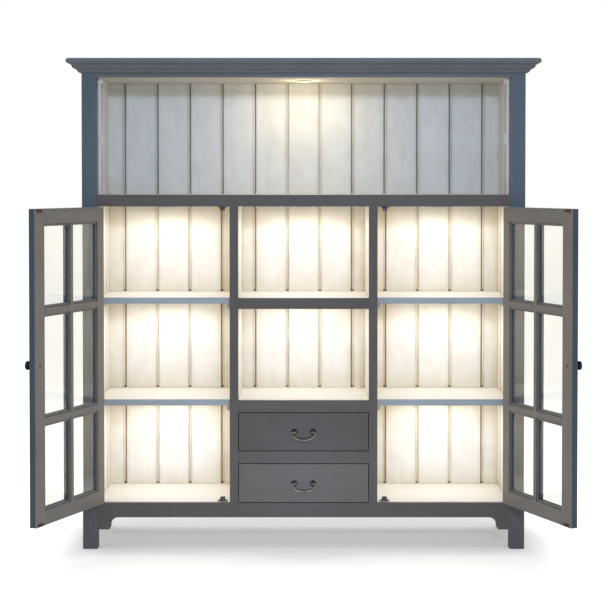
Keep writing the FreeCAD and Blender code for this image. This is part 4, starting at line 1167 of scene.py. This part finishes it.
class CUPBOARD_OT_studio(Operator):
    """Sets up the white room, its lamps and the camera"""
    bl_idname = "cupboard.studio"
    bl_label = "Studio"

    # Where each lamp stands and how wide it is, in metres
    KEY, LOW, TOP = ((0.55, -6.2, 2.75), 0.45), ((0, -1.2, 0.12), 0.2), ((-0.3, 0.9, 5.0), 7.0)
    # The height at the cupboard's front that the key and top lamps point at, and where the low lamp points
    AIM, LOW_AIM = 1.1, (0, 0, 0.3)

    def execute(self, context):
        studio = settings("studio")
        self.room(context, studio)
        self.floor(context, studio)
        aim = (0, front_face(), self.AIM)
        for name, (place, size), target, glossy, watts, tint in (
                ("key lamp", self.KEY, aim, True, studio.key_power, studio.key_colour),
                ("low lamp", self.LOW, self.LOW_AIM, True, studio.low_power, studio.key_colour),
                ("top lamp", self.TOP, aim, False, studio.top_power, studio.world_colour)):
            made = lit(context, name, "AREA", place, watts, tint, shape="DISK", size=size)
            made.rotation_euler = (Vector(target) - Vector(place)).to_track_quat("-Z", "Y").to_euler()
            made.visible_glossy = glossy
        self.camera(context, studio)
        context.scene.view_settings.view_transform = "Standard"
        return {"FINISHED"}

    def room(self, context, studio):
        """Even light from all round, which the camera sees as white, also through glass."""
        world = bpy.data.worlds.new("White room")
        world.use_nodes = True
        tree = world.node_tree
        tree.nodes.clear()
        seen = self.seen(tree)
        light = seen.node("ShaderNodeBackground", {0: studio.world_colour, 1: studio.world_level})
        white = seen.node("ShaderNodeBackground", {0: (1, 1, 1)})
        mixed = seen.node("ShaderNodeMixShader", {0: seen, 1: light, 2: white})
        add(tree, "ShaderNodeOutputWorld", {0: mixed})
        context.scene.world = world

    def seen(self, tree):
        """1 for the rays of the camera, also through glass, and 0 for light and gloss."""
        ray = add(tree, "ShaderNodeLightPath").outputs
        return Field(tree, ray["Is Camera Ray"]) | Field(tree, ray["Is Transmission Ray"])

    def floor(self, context, studio):
        """A pale floor that is white to the camera and keeps the cupboard's shadow, with a painted shadow from
        its weaker glow near the base.
        """
        material, shader, place = started("Matt studio floor")
        coat = toned(place.noise(4 * MM), studio.floor_colour, -0.01, 0)
        feed(shader, {"Base Color": coat, "Roughness": 0.9, "Specular IOR Level": 0.0})
        # Painted shadow: less glow near the base
        lift = place.node("ShaderNodeMapRange", {
            "Value": self.from_base(place, studio), "From Min": studio.near_reach,
            "From Max": studio.far_reach, "To Min": studio.near_lift, "To Max": studio.far_lift})
        through = place.node("ShaderNodeLightPath", output="Is Transmission Ray")
        seen = self.seen(place.tree) - through * studio.glass_loss
        glow = place.node("ShaderNodeEmission", {0: (1, 1, 1), 1: seen * lift})
        covered(shader, place.node("ShaderNodeAddShader", {0: shader.outputs[0], 1: glow}))
        mesh = mesh_from("floor", lambda shape: bmesh.ops.create_grid(
            shape, x_segments=1, y_segments=1, size=studio.floor_size))
        floor = bpy.data.objects.new("floor", mesh)
        mesh.materials.append(material)
        context.scene.collection.objects.link(floor)

    def from_base(self, place, studio):
        """How far a point of the floor lies from the rectangle between the legs. Sideways counts for more."""
        low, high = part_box("front_left_post")[0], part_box("back_posts")[1]
        squares = []
        for axis, rise in ((0, studio.side_rise), (1, 1)):
            from_middle = abs(place[axis] - (low[axis] + high[axis]) / 2)
            beyond = ((from_middle - (high[axis] - low[axis]) / 2) | 0.0) * rise
            squares.append(beyond * beyond)
        return (squares[0] + squares[1]).sum("SQRT")

    def camera(self, context, studio):
        lens = bpy.data.cameras.new("camera")
        lens.lens, lens.sensor_width = studio.focal_length, studio.sensor
        lens.shift_x, lens.shift_y = studio.shift_x, studio.shift_y
        lens.clip_end = studio.clip_end
        made = bpy.data.objects.new("camera", lens)
        made.location = (0, studio.camera_y, studio.camera_z)
        made.rotation_euler = (math.radians(90) - studio.camera_pitch, 0, 0)
        context.scene.collection.objects.link(made)
        context.scene.camera = made


GROUPS = {"paint": CupboardPaint, "metal": CupboardMetal, "fittings": CupboardFittings,
          "light": CupboardLight, "studio": CupboardStudio}
OPERATORS = (CUPBOARD_OT_case, CUPBOARD_OT_boards, CUPBOARD_OT_doors, CUPBOARD_OT_drawers, CUPBOARD_OT_pulls,
             CUPBOARD_OT_knobs, CUPBOARD_OT_metalwork, CUPBOARD_OT_lights, CUPBOARD_OT_studio)


class CUPBOARD_PT_panel(Panel):
    bl_label = "Kitchen cupboard"
    bl_idname = "CUPBOARD_PT_panel"
    bl_space_type = "VIEW_3D"
    bl_region_type = "UI"
    bl_category = "Cupboard"

    def draw(self, context):
        for operator in OPERATORS:
            self.layout.operator(operator.bl_idname)
        for name, group in GROUPS.items():
            box = self.layout.box()
            box.label(text=name.capitalize())
            for field in group.__annotations__:
                box.prop(settings(name), field)


def register():
    for made in (*GROUPS.values(), *OPERATORS, CUPBOARD_PT_panel):
        bpy.utils.register_class(made)
    for name, group in GROUPS.items():
        setattr(bpy.types.Scene, "cupboard_" + name, PointerProperty(type=group))


def unregister():
    for name in GROUPS:
        delattr(bpy.types.Scene, "cupboard_" + name)
    for made in reversed((*GROUPS.values(), *OPERATORS, CUPBOARD_PT_panel)):
        bpy.utils.unregister_class(made)


def main():
    """Fits the cupboard out piece by piece."""
    register()
    for operator in OPERATORS:
        group, name = operator.bl_idname.split(".")
        getattr(getattr(bpy.ops, group), name)()


if __name__ == "__main__":
    main()
